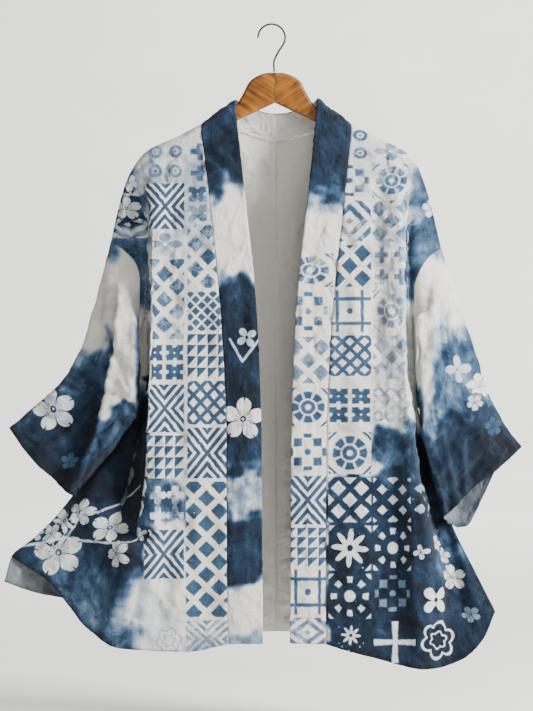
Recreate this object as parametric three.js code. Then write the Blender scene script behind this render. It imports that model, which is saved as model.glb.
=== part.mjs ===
// A short kimono jacket (haori cut) of thin cloth, hanging open on a wooden hanger with a wire hook.
// Millimetres, +Z up, the wearer's left at +X, the front towards -Y. The origin is the inside top of the
// hook's bend, where a rope or a rail carries the whole.
import * as THREE from 'three'

const CLOTH = 1.6 // wall of one layer of cloth
const COLLAR_CLOTH = 2.4 // the collar band is folded double
const SEAM = 0.3 // gap between two sewn pieces
const ARMHOLE_GAP = 0.5 // the same where a sleeve's rim meets the panels at an angle
const GARMENT_X = 4.8 // the hanger's middle, measured from the hook's bend
const BACK_SEAM_X = 2 // the centre back seam, measured from the hanger's middle
const SHOULDER_R = 13 // roll of the cloth over the hanger's arm
const ROLL_ROWS = 3
const ROWS = 20
const CUFF_ROWS = 12
const COLLAR_COLUMNS = 4
// The back neck seam and, above it, the collar's free edge behind the neck, from the centre to the ridge.
const NECK_COLUMNS = ['across', 'halfX', 'y', 'z']
const NECK_SEAM = table(NECK_COLUMNS, [
  [-1.00, 0, 32, -164],
  [-0.88, 13, 31.8, -163],
  [-0.50, 51, 27, -152],
  [-0.20, 86, 14, -143.5],
  [0.00, 107, 0, -141]
])
const COLLAR_BACK = table(NECK_COLUMNS, [
  [-1.00, 0, 18, -125],
  [-0.88, 7, 17.8, -124.8],
  [-0.50, 26, 15.5, -121],
  [-0.18, 54, 11, -109]
])
const PULL_FROM = 0.75 // from this far across, a panel is drawn to its armhole and side seam
const PANEL_LEVELS = [0, 0.15, 0.4, 0.62, 0.82, 1]
const LEVEL_NAMES = ['15', '40', '62', '82', 'Hem']

// Rails run from the shoulder ridge to the hem. across: place between the collar seam (0) and the side (1).
// x15 to x82 and y15 to y82 are places 15 to 82 % of the way down.
const RAIL_COLUMNS = ['across', 'topX', 'topZ', 'x15', 'x40', 'x62', 'x82', 'xHem',
  'y15', 'y40', 'y62', 'y82', 'yHem', 'zHem']
const FRONT_RIGHT = table(RAIL_COLUMNS, [
  [0.00, -105, -141, -92, -75, -68.5, -68.5, -67, -34, -45, -49, -49, -45, -879], // collar seam
  [0.30, -141, -160, -140, -129, -125, -125, -128, -36, -46, -50, -50, -47, -890], // flat front
  [0.58, -183, -180, -173, -176, -182, -201, -220, -44, -56, -60, -58, -50, -884], // crest of the side fold
  [0.75, -210, -218, -183, -184, -198, -236, -266, -17, -9, 8, -36, -42, -856], // valley behind it
  [0.88, -226, -272, -187, -189, -217, -272, -320, -19, -10, -8, -36, -38, -792], // fold beside the armhole
  [1.00, -234, -309, -191, -198, -233, -300, -373, -18, -5, -10, -22, -32, -756] // armhole and side seam
])
const FRONT_LEFT = table(RAIL_COLUMNS, [
  [0.00, 109, -141, 97, 79, 73, 72, 72, -34, -45, -49, -49, -45, -879],
  [0.30, 142, -158, 141, 138, 136, 136, 135, -36, -46, -50, -50, -48, -897],
  [0.58, 170, -172, 176, 181, 197, 212, 213, -44, -56, -62, -62, -56, -914],
  [0.75, 197, -190, 187, 189, 211, 243, 258, -17, -9, 0, -24, -40, -904],
  [0.88, 218, -240, 191, 193, 221, 264, 292, -19, -9, -8, -26, -36, -876],
  [1.00, 237, -317, 197, 201, 227, 262, 312, -18, -5, -10, -22, -32, -834]
])
const BACK_RIGHT = table(RAIL_COLUMNS, [
  [-1.0, 2, -164, 2, 2, 2, 2, 2, 36, 34, 33, 31, 30, -868], // centre back seam
  [-0.5, -49, -152, -49, -49, -50, -53, -55, 38, 36, 34, 33, 33, -869],
  [0.00, -105, -141, -103, -103, -105, -109, -112, 40, 40, 38, 36, 35, -873],
  [0.30, -141, -160, -140, -140, -142, -149, -155, 40, 40, 38, 36, 34, -878],
  [0.58, -183, -180, -180, -176, -184, -198, -212, 38, 50, 48, 40, 32, -870],
  [0.75, -210, -218, -205, -190, -204, -243, -276, 30, 34, 26, 22, 12, -826],
  [0.88, -226, -272, -219, -200, -222, -280, -345, 24, 24, 14, 4, -10, -808],
  [1.00, -234, -309, -219, -209, -236, -310, -383, 22, 12, 0, -16, -36, -792]
])
const BACK_LEFT = table(RAIL_COLUMNS, [
  [-1.0, 2, -164, 2, 2, 2, 2, 2, 36, 34, 33, 31, 30, -868],
  [-0.5, 53, -152, 53, 53, 54, 57, 59, 38, 36, 34, 33, 33, -869],
  [0.00, 109, -141, 107, 107, 109, 113, 116, 40, 40, 38, 36, 35, -875],
  [0.30, 142, -158, 144, 144, 146, 152, 156, 40, 40, 38, 36, 34, -884],
  [0.58, 170, -172, 176, 180, 192, 204, 210, 38, 50, 48, 40, 32, -894],
  [0.75, 197, -190, 198, 196, 212, 238, 254, 30, 34, 26, 22, 14, -888],
  [0.88, 218, -240, 214, 205, 224, 262, 288, 24, 24, 14, 6, -8, -864],
  [1.00, 237, -317, 222, 207, 228, 270, 312, 22, 12, 0, -14, -32, -830]
])
// The armhole's two edges down to the underarm, and from there the side seam, which both share.
const SIDE_COLUMNS = ['z', 'frontX', 'frontY', 'backX', 'backY']
const SIDE_RIGHT = table(SIDE_COLUMNS, [
  [-309, -234, 0, -234, 0],
  [-322, -214, -13, -229, 13],
  [-342, -197, -22, -223, 22],
  [-363, -191, -17, -219, 24],
  [-430, -194, -6, -213, 20],
  [-486, -200, -2, -209, 12],
  [-540, -207, 0, -207, 0], // underarm
  [-600, -236, -6, -236, -6],
  [-640, -261, -11, -261, -11],
  [-669, -286, -15, -286, -15],
  [-702, -313, -21, -313, -21],
  [-731, -343, -27, -343, -27],
  [-756, -373, -31, -373, -31],
  [-792, -383, -36, -383, -36]
])
const SIDE_LEFT = table(SIDE_COLUMNS, [
  [-317, 237, 0, 237, 0],
  [-330, 219, -13, 232, 13],
  [-350, 205, -22, 227, 22],
  [-376, 197, -17, 222, 24],
  [-439, 197, -6, 213, 20],
  [-490, 200, -2, 208, 12],
  [-545, 203, 0, 203, 0], // underarm
  [-640, 226, -8, 226, -8],
  [-715, 253, -18, 253, -18],
  [-780, 285, -26, 285, -26],
  [-834, 312, -32, 312, -32]
])
const UNDERARM_RIGHT = -540
const UNDERARM_LEFT = -545

// The collar band's free edge on the fronts. Its seam lies on the panels' collar rails.
const EDGE_RIGHT = table(RAIL_COLUMNS, [
  [-1, -56, -105, -44, -25, -19, -18, -17, -33, -46, -51, -51, -47, -878]
])[0]
const EDGE_LEFT = table(RAIL_COLUMNS, [
  [-1, 60, -105, 48, 29, 23, 22, 21, -33, -46, -51, -51, -47, -878]
])[0]

// Sleeve sections between the armhole (0) and the cuff (1), each a loop from the ridge down the front to
// the under edge and up the back.
const SLEEVE_COLUMNS = ['along', 'ridgeX', 'ridgeY', 'ridgeZ', 'facetX', 'facetY', 'facetZ',
  'crestX', 'crestY', 'crestZ', 'lowX', 'lowY', 'lowZ', 'underX', 'underY', 'underZ',
  'backHighY', 'backLowY', 'drop']
const SLEEVE_RIGHT = table(SLEEVE_COLUMNS, [
  [0.20, -256, 0, -392, -229, -36, -400, -195, -46, -430, -191, -42, -500, -205, -20, -553, 26, 20, 0],
  [0.42, -281, 0, -470, -238, -36, -480, -198, -50, -495, -192, -40, -537, -216, -22, -572, 24, 18, 0],
  [0.62, -307, -2, -511, -258, -37, -535, -224, -48, -555, -218, -34, -580, -240, -18, -602, 20, 14, 0],
  [0.82, -345, -6, -546, -300, -34, -586, -266, -40, -611, -264, -28, -634, -270, -14, -645, 14, 8, 0],
  [1.00, -378, -12, -575, -350, -30, -612, -318, -34, -645, -302, -27, -662, -289, -18, -669, 6, -2, 0]
])
const SLEEVE_LEFT = table(SLEEVE_COLUMNS, [
  [0.20, 259, 0, -388, 238, -36, -400, 203, -44, -420, 200, -40, -490, 209, -20, -560, 26, 20, 0],
  [0.42, 286, 0, -466, 254, -40, -480, 212, -47, -500, 205, -39, -555, 214, -25, -590, 24, 18, 0],
  [0.62, 307, -2, -530, 272, -40, -545, 232, -43, -582, 217, -36, -616, 221, -27, -632, 20, 12, 8],
  [0.82, 332, -6, -576, 298, -36, -603, 258, -36, -641, 232, -34, -664, 230, -29, -670, 14, 6, 20],
  [1.00, 351, -10, -602, 318, -30, -631, 278, -30, -664, 250, -34, -691, 239, -32, -702, 4, -9, 42]
])
const SLEEVE_RAILS = { facet: 0.12, crest: 0.26, low: 0.37, under: 0.46, backLow: 0.66, backHigh: 0.84 }
const BACK_LOW_AT = 0.72 // how far down from the ridge to the under edge the back's lower rail lies
const BACK_HIGH_AT = 0.28
const HALF = 0.5 // the front takes half of the way round a sleeve

// Half outline of the wooden hanger: upper edge from the middle out to the tip, then back underneath.
const ARM_OUTLINE = [
  [0.2, -67.7], [13, -68.4], [25, -72.6], [35.5, -80], [44, -95], [52, -109], [60, -118], [106, -152],
  [150, -173], [180, -191], [192, -203], [195, -213], [188, -219], [172, -212], [106, -175], [55, -137],
  [21, -121], [0.2, -111]
]
const ARM_DEPTH = 12
const ARM_BEVEL = 2.5
const HOOK = {
  wireR: 1.4, bendR: 19.4, shankX: -1, footZ: -66.5, shankTopZ: -51, leanZ: -39, lean: 0.35,
  bendFrom: -0.12, bendTo: 3.19, bendPoints: 12, steps: 28, sides: 10
}

const CLOTH_LOOK = { color: 0xdfe3e2, roughness: 0.92, metalness: 0 }
const INDIGO_LOOK = { color: 0x4a648c, roughness: 0.92, metalness: 0 }
const PALE_LOOK = { color: 0xb9c6d2, roughness: 0.92, metalness: 0 }
const WOOD_LOOK = { color: 0xb5672a, roughness: 0.35, metalness: 0 }
const WIRE_LOOK = { color: 0x2c2a28, roughness: 0.35, metalness: 0.9 }

function table(columns, rows) {
  return rows.map(row => Object.fromEntries(columns.map((name, i) => [name, row[i]])))
}

// A smooth curve through given points that never overshoots them (Fritsch and Carlson's slopes).
function smooth(at, values) {
  const n = at.length
  const step = at.slice(1).map((a, i) => a - at[i])
  const rise = step.map((h, i) => (values[i + 1] - values[i]) / h)
  const slope = values.map((_, i) => {
    if (i === 0) return rise[0]
    if (i === n - 1) return rise[n - 2]
    if (rise[i - 1] * rise[i] <= 0) return 0
    const before = step[i - 1] + 2 * step[i]
    const after = 2 * step[i - 1] + step[i]
    return (before + after) / (before / rise[i - 1] + after / rise[i])
  })
  return x => {
    let i = 0
    while (i < n - 2 && x > at[i + 1]) i++
    const h = step[i]
    const s = Math.min(1, Math.max(0, (x - at[i]) / h))
    const rest = 1 - s
    return values[i] * (1 + 2 * s) * rest * rest + slope[i] * h * s * rest * rest +
      values[i + 1] * s * s * (3 - 2 * s) - slope[i + 1] * h * s * s * rest
  }
}

function column(rows, name) {
  return rows.map(row => row[name])
}

function lerp(a, b, s) {
  return a + (b - a) * s
}

function ramp(x, from, to) {
  const s = Math.min(1, Math.max(0, (x - from) / (to - from)))
  return s * s * (3 - 2 * s)
}

// The place and slopes of one side line at a height: the armhole edge above the underarm, the seam below.
function sideLine(rows, name) {
  const up = [...rows].reverse()
  const z = column(up, 'z')
  const x = smooth(z, column(up, name + 'X'))
  const y = smooth(z, column(up, name + 'Y'))
  return height => ({ x: x(height), y: y(height) })
}

// One panel's outer face as rows of points. Each row starts at the centre or collar side and ends at the
// side seam. The first rows roll over the shoulder.
function panelRows(rails, side, name, underarm, acrossSteps) {
  const outward = name === 'front' ? -1 : 1
  const across = column(rails, 'across')
  const ridge = rails.filter(rail => rail.across >= 0)
  const ridgeX = smooth(column(ridge, 'across'), column(ridge, 'topX'))
  const ridgeZ = smooth(column(ridge, 'across'), column(ridge, 'topZ'))
  const sign = Math.sign(ridge[0].topX)
  const neckAt = column(NECK_SEAM, 'across')
  const neckX = smooth(neckAt, column(NECK_SEAM, 'halfX').map(half => BACK_SEAM_X + sign * half))
  const neckY = smooth(neckAt, column(NECK_SEAM, 'y'))
  const neckZ = smooth(neckAt, column(NECK_SEAM, 'z'))
  const xAt = LEVEL_NAMES.map(level => smooth(across, column(rails, 'x' + level)))
  const yAt = LEVEL_NAMES.map(level => smooth(across, column(rails, 'y' + level)))
  const hemZ = smooth(across, column(rails, 'zHem'))
  const line = sideLine(side, name)
  const columns = acrossSteps.map(u => {
    const top = u < 0 ? { x: neckX(u), y: neckY(u), z: neckZ(u) } : { x: ridgeX(u), y: 0, z: ridgeZ(u) }
    const start = Math.asin(Math.min(1, top.y / SHOULDER_R))
    const x = smooth(PANEL_LEVELS, [top.x, ...xAt.map(f => f(u))])
    const rollY = top.y + SHOULDER_R * (1 - Math.sin(start))
    const y = smooth(PANEL_LEVELS, [outward * rollY, ...yAt.map(f => f(u))])
    const straight = SHOULDER_R * start
    const mainZ = top.z - SHOULDER_R * Math.cos(start) - straight
    return { u, top, start, straight, x, y, mainZ, hemZ: hemZ(u) }
  })
  const place = (c, row) => {
    if (row < ROLL_ROWS) {
      const turned = row / ROLL_ROWS
      const angle = lerp(c.start, Math.PI / 2, turned)
      const y = outward * (c.top.y + SHOULDER_R * (Math.sin(angle) - Math.sin(c.start)))
      const fall = SHOULDER_R * (Math.cos(c.start) - Math.cos(angle)) + c.straight * turned
      return { x: c.top.x, y, z: c.top.z - fall }
    }
    const down = (row - ROLL_ROWS) / ROWS
    return { x: c.x(down), y: c.y(down), z: lerp(c.mainZ, c.hemZ, down) }
  }
  const last = columns[columns.length - 1]
  const rows = []
  for (let row = 0; row <= ROLL_ROWS + ROWS; row++) {
    const edge = place(last, row)
    const seam = line(edge.z)
    rows.push(columns.map(c => {
      const p = place(c, row)
      const pull = ramp(c.u, PULL_FROM, 1)
      const apart = outward * lerp(SEAM / 2, CLOTH + SEAM / 2, ramp(-p.z, -last.top.z, -underarm))
      const x = p.x + pull * (seam.x - edge.x)
      const y = p.y + pull * (seam.y - edge.y) + apart
      return new THREE.Vector3(x, y, p.z)
    }))
  }
  rows.startTangents = columns.map(c => new THREE.Vector3(0, outward * Math.cos(c.start), -Math.sin(c.start)))
  return rows
}

// The normals of a grid of points, turned to the side that facing names.
function gridNormals(rows, facing, closed, startTangents) {
  const count = rows[0].length
  return rows.map((row, i) => row.map((_, j) => {
    const before = closed ? (j + count - 1) % count : Math.max(0, j - 1)
    const after = closed ? (j + 1) % count : Math.min(count - 1, j + 1)
    const along = new THREE.Vector3().subVectors(row[after], row[before])
    const down = i === 0 && startTangents
      ? startTangents[j]
      : new THREE.Vector3().subVectors(rows[Math.min(rows.length - 1, i + 1)][j], rows[Math.max(0, i - 1)][j])
    return new THREE.Vector3().crossVectors(along, down).normalize().multiplyScalar(facing)
  }))
}

// A closed wall of cloth: the grid is its outer face, and the inner face lies one thickness inside.
function wall(rows, normals, thickness, facing, closed) {
  const count = rows[0].length
  const last = rows.length - 1
  const inner = rows.map((row, i) => row.map((p, j) => p.clone().addScaledVector(normals[i][j], -thickness)))
  const positions = [...rows.flat(), ...inner.flat()].flatMap(p => [p.x, p.y, p.z])
  const layer = rows.length * count
  const out = (i, j) => i * count + (j % count)
  const inside = (i, j) => layer + out(i, j)
  const index = []
  const quad = (a, b, c, d) => {
    index.push(...(facing > 0 ? [a, b, c, a, c, d] : [a, c, b, a, d, c]))
  }
  const steps = closed ? count : count - 1
  for (let i = 0; i < last; i++) {
    for (let j = 0; j < steps; j++) {
      quad(out(i, j), out(i, j + 1), out(i + 1, j + 1), out(i + 1, j))
      quad(inside(i, j), inside(i + 1, j), inside(i + 1, j + 1), inside(i, j + 1))
    }
  }
  for (let j = 0; j < steps; j++) {
    quad(out(0, j), inside(0, j), inside(0, j + 1), out(0, j + 1))
    quad(out(last, j), out(last, j + 1), inside(last, j + 1), inside(last, j))
  }
  if (!closed) {
    for (let i = 0; i < last; i++) {
      quad(out(i, 0), out(i + 1, 0), inside(i + 1, 0), inside(i, 0))
      quad(out(i, steps), inside(i, steps), inside(i + 1, steps), out(i + 1, steps))
    }
  }
  const geometry = new THREE.BufferGeometry()
  geometry.setAttribute('position', new THREE.Float32BufferAttribute(positions, 3))
  geometry.setIndex(index)
  return geometry
}

// Columns per stretch between rails, so that the folds get the closest ones.
function spread(stops, counts) {
  const steps = [stops[0]]
  counts.forEach((n, i) => {
    for (let k = 1; k <= n; k++) steps.push(lerp(stops[i], stops[i + 1], k / n))
  })
  return steps
}

function named(name, geometry, look) {
  const mesh = new THREE.Mesh(geometry, new THREE.MeshStandardMaterial(look))
  mesh.name = name
  return mesh
}

const FRONT_ACROSS = spread([0, 0.3, 0.58, 0.75, 0.88, 1], [3, 5, 4, 2, 2])
const BACK_ACROSS = spread([-1, 0, 0.3, 0.58, 0.75, 0.88, 1], [8, 2, 3, 2, 2, 2])

function panel(rails, side, name, underarm, facing) {
  const steps = name === 'front' ? FRONT_ACROSS : BACK_ACROSS
  const rows = panelRows(rails, side, name, underarm, steps)
  if (name === 'back') {
    const seamSide = Math.sign(rows[0][rows[0].length - 1].x)
    for (const row of rows) row[0].x += seamSide * SEAM / 2
  }
  const normals = gridNormals(rows, facing, false, rows.startTangents)
  if (name === 'back') {
    for (const row of normals) {
      row[0].x = 0
      row[0].normalize()
    }
  }
  return { rows, normals, facing }
}

function panelMesh(name, made, look) {
  return named(name, wall(made.rows, made.normals, CLOTH, made.facing, false), look)
}

// The sleeve's ring at the armhole is taken from the two panels' edges, and moved off by the seam gap.
function armhole(front, back, underarm) {
  const edge = made => made.rows.map(row => row[row.length - 1]).filter(p => p.z > underarm - 1)
  const down = edge(front)
  const up = edge(back).reverse()
  return [...down, ...up.slice(0, -1)]
}

function sleeveRows(ring, sections) {
  const count = ring.length
  const frontCount = ring.findIndex((p, i) => i > 0 && ring[i + 1] && ring[i + 1].y > 0 && p.y <= 0) + 1
  const backCount = count - frontCount
  const whereAt = ring.map((_, i) => {
    if (i < frontCount) return HALF * i / (frontCount - HALF)
    return HALF + HALF * (i - frontCount + HALF) / (backCount + HALF)
  })
  const loops = sections.map(s => {
    const backLow = new THREE.Vector3(lerp(s.ridgeX, s.underX, BACK_LOW_AT), s.backLowY,
      lerp(s.ridgeZ, s.underZ, BACK_LOW_AT) - s.drop)
    const backHigh = new THREE.Vector3(lerp(s.ridgeX, s.underX, BACK_HIGH_AT), s.backHighY,
      lerp(s.ridgeZ, s.underZ, BACK_HIGH_AT))
    const ridge = new THREE.Vector3(s.ridgeX, s.ridgeY, s.ridgeZ)
    const under = new THREE.Vector3(s.underX, s.underY, s.underZ)
    const rail = name => new THREE.Vector3(s[name + 'X'], s[name + 'Y'], s[name + 'Z'])
    const stops = [
      [SLEEVE_RAILS.backHigh - 1, backHigh], [0, ridge], [SLEEVE_RAILS.facet, rail('facet')],
      [SLEEVE_RAILS.crest, rail('crest')], [SLEEVE_RAILS.low, rail('low')], [SLEEVE_RAILS.under, under],
      [SLEEVE_RAILS.backLow, backLow], [SLEEVE_RAILS.backHigh, backHigh], [1, ridge],
      [1 + SLEEVE_RAILS.facet, rail('facet')]
    ]
    const at = stops.map(stop => stop[0])
    const curve = ['x', 'y', 'z'].map(axis => smooth(at, stops.map(stop => stop[1][axis])))
    return w => new THREE.Vector3(...curve.map(f => f(w)))
  })
  const along = [0, ...column(sections, 'along')]
  const rails = ring.map((p, i) => {
    const through = [p, ...loops.map(loop => loop(whereAt[i]))]
    return ['x', 'y', 'z'].map(axis => smooth(along, through.map(q => q[axis])))
  })
  const rows = []
  for (let row = 0; row <= CUFF_ROWS; row++) {
    const t = row / CUFF_ROWS
    rows.push(rails.map(rail => new THREE.Vector3(...rail.map(f => f(t)))))
  }
  const outward = Math.sign(ring[0].x)
  rows[0] = rows[0].map((p, i) => {
    const step = new THREE.Vector3().subVectors(rows[1][i], p).normalize()
    const moved = p.clone().addScaledVector(step, ARMHOLE_GAP)
    return moved.setX(moved.x + outward * ARMHOLE_GAP)
  })
  return rows
}

function sleeveMesh(name, ring, sections, facing, look) {
  const rows = sleeveRows(ring, sections)
  const normals = gridNormals(rows, facing, true)
  return named(name, wall(rows, normals, CLOTH, facing, true), look)
}

// The free edge of the collar band on one front, row by row beside the panel's collar seam.
function frontEdge(rail, rows) {
  const x = smooth(PANEL_LEVELS, [rail.topX, ...LEVEL_NAMES.map(level => rail['x' + level])])
  const y = smooth(PANEL_LEVELS, [-SHOULDER_R, ...LEVEL_NAMES.map(level => rail['y' + level])])
  const mainZ = rail.topZ - SHOULDER_R
  return rows.map((_, row) => {
    if (row < ROLL_ROWS) {
      const angle = (Math.PI / 2) * (row / ROLL_ROWS)
      return new THREE.Vector3(rail.topX, -SHOULDER_R * Math.sin(angle),
        rail.topZ - SHOULDER_R * (1 - Math.cos(angle)))
    }
    const down = (row - ROLL_ROWS) / ROWS
    return new THREE.Vector3(x(down), y(down), lerp(mainZ, rail.zHem, down))
  })
}

// The free edge behind the neck, from the shoulder ridge to the centre back.
function backEdge(rail, steps) {
  const side = Math.sign(rail.topX)
  const at = [...column(COLLAR_BACK, 'across'), 0]
  const x = smooth(at, [...column(COLLAR_BACK, 'halfX').map(half => BACK_SEAM_X + side * half), rail.topX])
  const y = smooth(at, [...column(COLLAR_BACK, 'y'), 0])
  const z = smooth(at, [...column(COLLAR_BACK, 'z'), rail.topZ])
  return steps.map(u => new THREE.Vector3(x(u), y(u), z(u)))
}

// Seam and free edge of one half of the band, from the hem over the shoulder to the centre back.
function collarHalf(front, back, edgeRail) {
  const neckColumns = BACK_ACROSS.map((u, j) => [u, j]).filter(([u]) => u < 0).reverse()
  const frontSeam = front.rows.map(row => row[0])
  const frontNormals = front.normals.map(row => row[0])
  const frontFree = frontEdge(edgeRail, front.rows)
  const backSeam = neckColumns.map(([, j]) => back.rows[0][j])
  const backNormals = neckColumns.map(([, j]) => back.normals[0][j])
  const backFree = backEdge(edgeRail, neckColumns.map(([u]) => u))
  return {
    seam: [...frontSeam.reverse(), ...backSeam],
    normals: [...frontNormals.reverse(), ...backNormals],
    free: [...frontFree.reverse(), ...backFree]
  }
}

function collarMesh(name, right, left, look) {
  const seam = [...right.seam.slice(0, -1), ...left.seam.slice().reverse()]
  const seamNormals = [...right.normals.slice(0, -1), ...left.normals.slice().reverse()]
  const free = [...right.free.slice(0, -1), ...left.free.slice().reverse()]
  const middle = right.seam.length - 1
  seam[middle] = seam[middle].clone().setX(BACK_SEAM_X)
  const rows = seam.map((p, i) => {
    const across = new THREE.Vector3().subVectors(free[i], p)
    const gap = 2 * SEAM / across.length()
    const shares = Array.from({ length: COLLAR_COLUMNS + 1 }, (_, k) => lerp(gap, 1, k / COLLAR_COLUMNS))
    return shares.map(share => p.clone().addScaledVector(across, share))
  })
  const normals = gridNormals(rows, 1, false)
  normals.forEach((row, i) => { row[0] = seamNormals[i] })
  return named(name, wall(rows, normals, COLLAR_CLOTH, 1, false), look)
}

function armMesh(name, side) {
  const shape = new THREE.Shape()
  ARM_OUTLINE.forEach(([x, z], i) => (i ? shape.lineTo(x, z) : shape.moveTo(x, z)))
  shape.closePath()
  const geometry = new THREE.ExtrudeGeometry(shape, {
    depth: ARM_DEPTH - 2 * ARM_BEVEL, bevelEnabled: true, bevelThickness: ARM_BEVEL, bevelSize: ARM_BEVEL,
    bevelOffset: -ARM_BEVEL, bevelSegments: 2, curveSegments: 1
  })
  geometry.deleteAttribute('normal')
  geometry.deleteAttribute('uv')
  geometry.translate(0, 0, ARM_BEVEL - ARM_DEPTH / 2)
  const mesh = named(name, geometry, WOOD_LOOK)
  mesh.rotation.x = Math.PI / 2
  if (side < 0) mesh.rotation.z = Math.PI
  if (side < 0) mesh.rotation.x = -Math.PI / 2
  return mesh
}

// The wire rises from the hanger's middle, leans to the bend's right side and goes round over the top.
function hookMesh() {
  const centreZ = -HOOK.bendR + HOOK.wireR
  const bend = []
  for (let k = 0; k <= HOOK.bendPoints; k++) {
    const angle = lerp(HOOK.bendFrom, HOOK.bendTo, k / HOOK.bendPoints)
    bend.push(new THREE.Vector3(HOOK.bendR * Math.cos(angle), 0, centreZ + HOOK.bendR * Math.sin(angle)))
  }
  const shankX = GARMENT_X + HOOK.shankX
  const rise = [
    new THREE.Vector3(shankX, 0, HOOK.footZ), new THREE.Vector3(shankX, 0, HOOK.shankTopZ),
    new THREE.Vector3(lerp(shankX, HOOK.bendR, HOOK.lean), 0, HOOK.leanZ)
  ]
  const path = new THREE.CatmullRomCurve3([...rise, ...bend], false, 'centripetal')
  const section = new THREE.Shape()
  for (let k = 0; k < HOOK.sides; k++) {
    const angle = (2 * Math.PI * k) / HOOK.sides
    const [x, y] = [HOOK.wireR * Math.cos(angle), HOOK.wireR * Math.sin(angle)]
    if (k) section.lineTo(x, y)
    else section.moveTo(x, y)
  }
  section.closePath()
  const geometry = new THREE.ExtrudeGeometry(section, {
    steps: HOOK.steps, extrudePath: path, bevelEnabled: false
  })
  geometry.deleteAttribute('normal')
  geometry.deleteAttribute('uv')
  return named('hook', geometry, WIRE_LOOK)
}

const frontRight = panel(FRONT_RIGHT, SIDE_RIGHT, 'front', UNDERARM_RIGHT, 1)
const frontLeft = panel(FRONT_LEFT, SIDE_LEFT, 'front', UNDERARM_LEFT, -1)
const backRight = panel(BACK_RIGHT, SIDE_RIGHT, 'back', UNDERARM_RIGHT, -1)
const backLeft = panel(BACK_LEFT, SIDE_LEFT, 'back', UNDERARM_LEFT, 1)
const ringRight = armhole(frontRight, backRight, UNDERARM_RIGHT)
const ringLeft = armhole(frontLeft, backLeft, UNDERARM_LEFT)

const hanging = new THREE.Group()
hanging.position.x = GARMENT_X
hanging.add(panelMesh('front_right', frontRight, CLOTH_LOOK))
hanging.add(panelMesh('front_left', frontLeft, CLOTH_LOOK))
hanging.add(panelMesh('back_right', backRight, CLOTH_LOOK))
hanging.add(panelMesh('back_left', backLeft, CLOTH_LOOK))
hanging.add(sleeveMesh('sleeve_right', ringRight, SLEEVE_RIGHT, -1, PALE_LOOK))
hanging.add(sleeveMesh('sleeve_left', ringLeft, SLEEVE_LEFT, 1, PALE_LOOK))
hanging.add(collarMesh('collar', collarHalf(frontRight, backRight, EDGE_RIGHT),
  collarHalf(frontLeft, backLeft, EDGE_LEFT), INDIGO_LOOK))
hanging.add(armMesh('hanger_arm_right', -1))
hanging.add(armMesh('hanger_arm_left', 1))

const kimono = new THREE.Group()
kimono.add(hookMesh(), hanging)

export default kimono
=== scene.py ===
"""A short kimono jacket (haori cut) of indigo-dyed cloth on a wooden hanger.

Lengths are in millimetres, and MM turns them to metres where they are handed over. The studio and the camera
are in metres throughout. The cloth's first tables repeat the solids' own: rails run from the shoulder to the
hem, sections run along a sleeve."""

import math

import bpy
import mathutils
import numpy as np
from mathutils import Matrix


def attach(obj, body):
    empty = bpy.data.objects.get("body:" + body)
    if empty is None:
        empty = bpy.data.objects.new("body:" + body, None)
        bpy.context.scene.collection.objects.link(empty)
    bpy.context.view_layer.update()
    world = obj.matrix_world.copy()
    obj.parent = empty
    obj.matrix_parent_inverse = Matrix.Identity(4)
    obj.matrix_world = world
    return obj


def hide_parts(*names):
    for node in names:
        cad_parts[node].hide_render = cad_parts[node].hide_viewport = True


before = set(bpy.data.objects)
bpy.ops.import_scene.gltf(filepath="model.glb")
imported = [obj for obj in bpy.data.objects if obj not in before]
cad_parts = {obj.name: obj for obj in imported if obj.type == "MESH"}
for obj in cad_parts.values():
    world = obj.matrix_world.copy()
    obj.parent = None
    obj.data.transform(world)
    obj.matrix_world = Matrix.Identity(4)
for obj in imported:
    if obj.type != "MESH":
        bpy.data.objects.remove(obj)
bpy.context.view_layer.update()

MM = 0.001
SIDES = ("right", "left")

# ---------------------------------------------------------------- sizes shared with the solids
GARMENT_X = 4.8  # the hanger's middle, from the origin in the hook's bend
BACK_SEAM_X = 2
SHOULDER_R = 13  # roll of the cloth over the hanger's arm
SEAM = 0.3
CLOTH_WALL = 1.6  # the solids' wall, which sets how far front and back lie apart at the side seam
PULL_FROM = 0.75  # from this far across, a panel is drawn to its armhole and side seam
ARMHOLE_GAP = 0.5
UNDERARM = {"right": -540, "left": -545}
LEVELS = [0, 0.15, 0.4, 0.62, 0.82, 1]
LEVEL_NAMES = ["15", "40", "62", "82", "Hem"]


def table(columns, rows):
    return [dict(zip(columns, row)) for row in rows]


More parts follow.
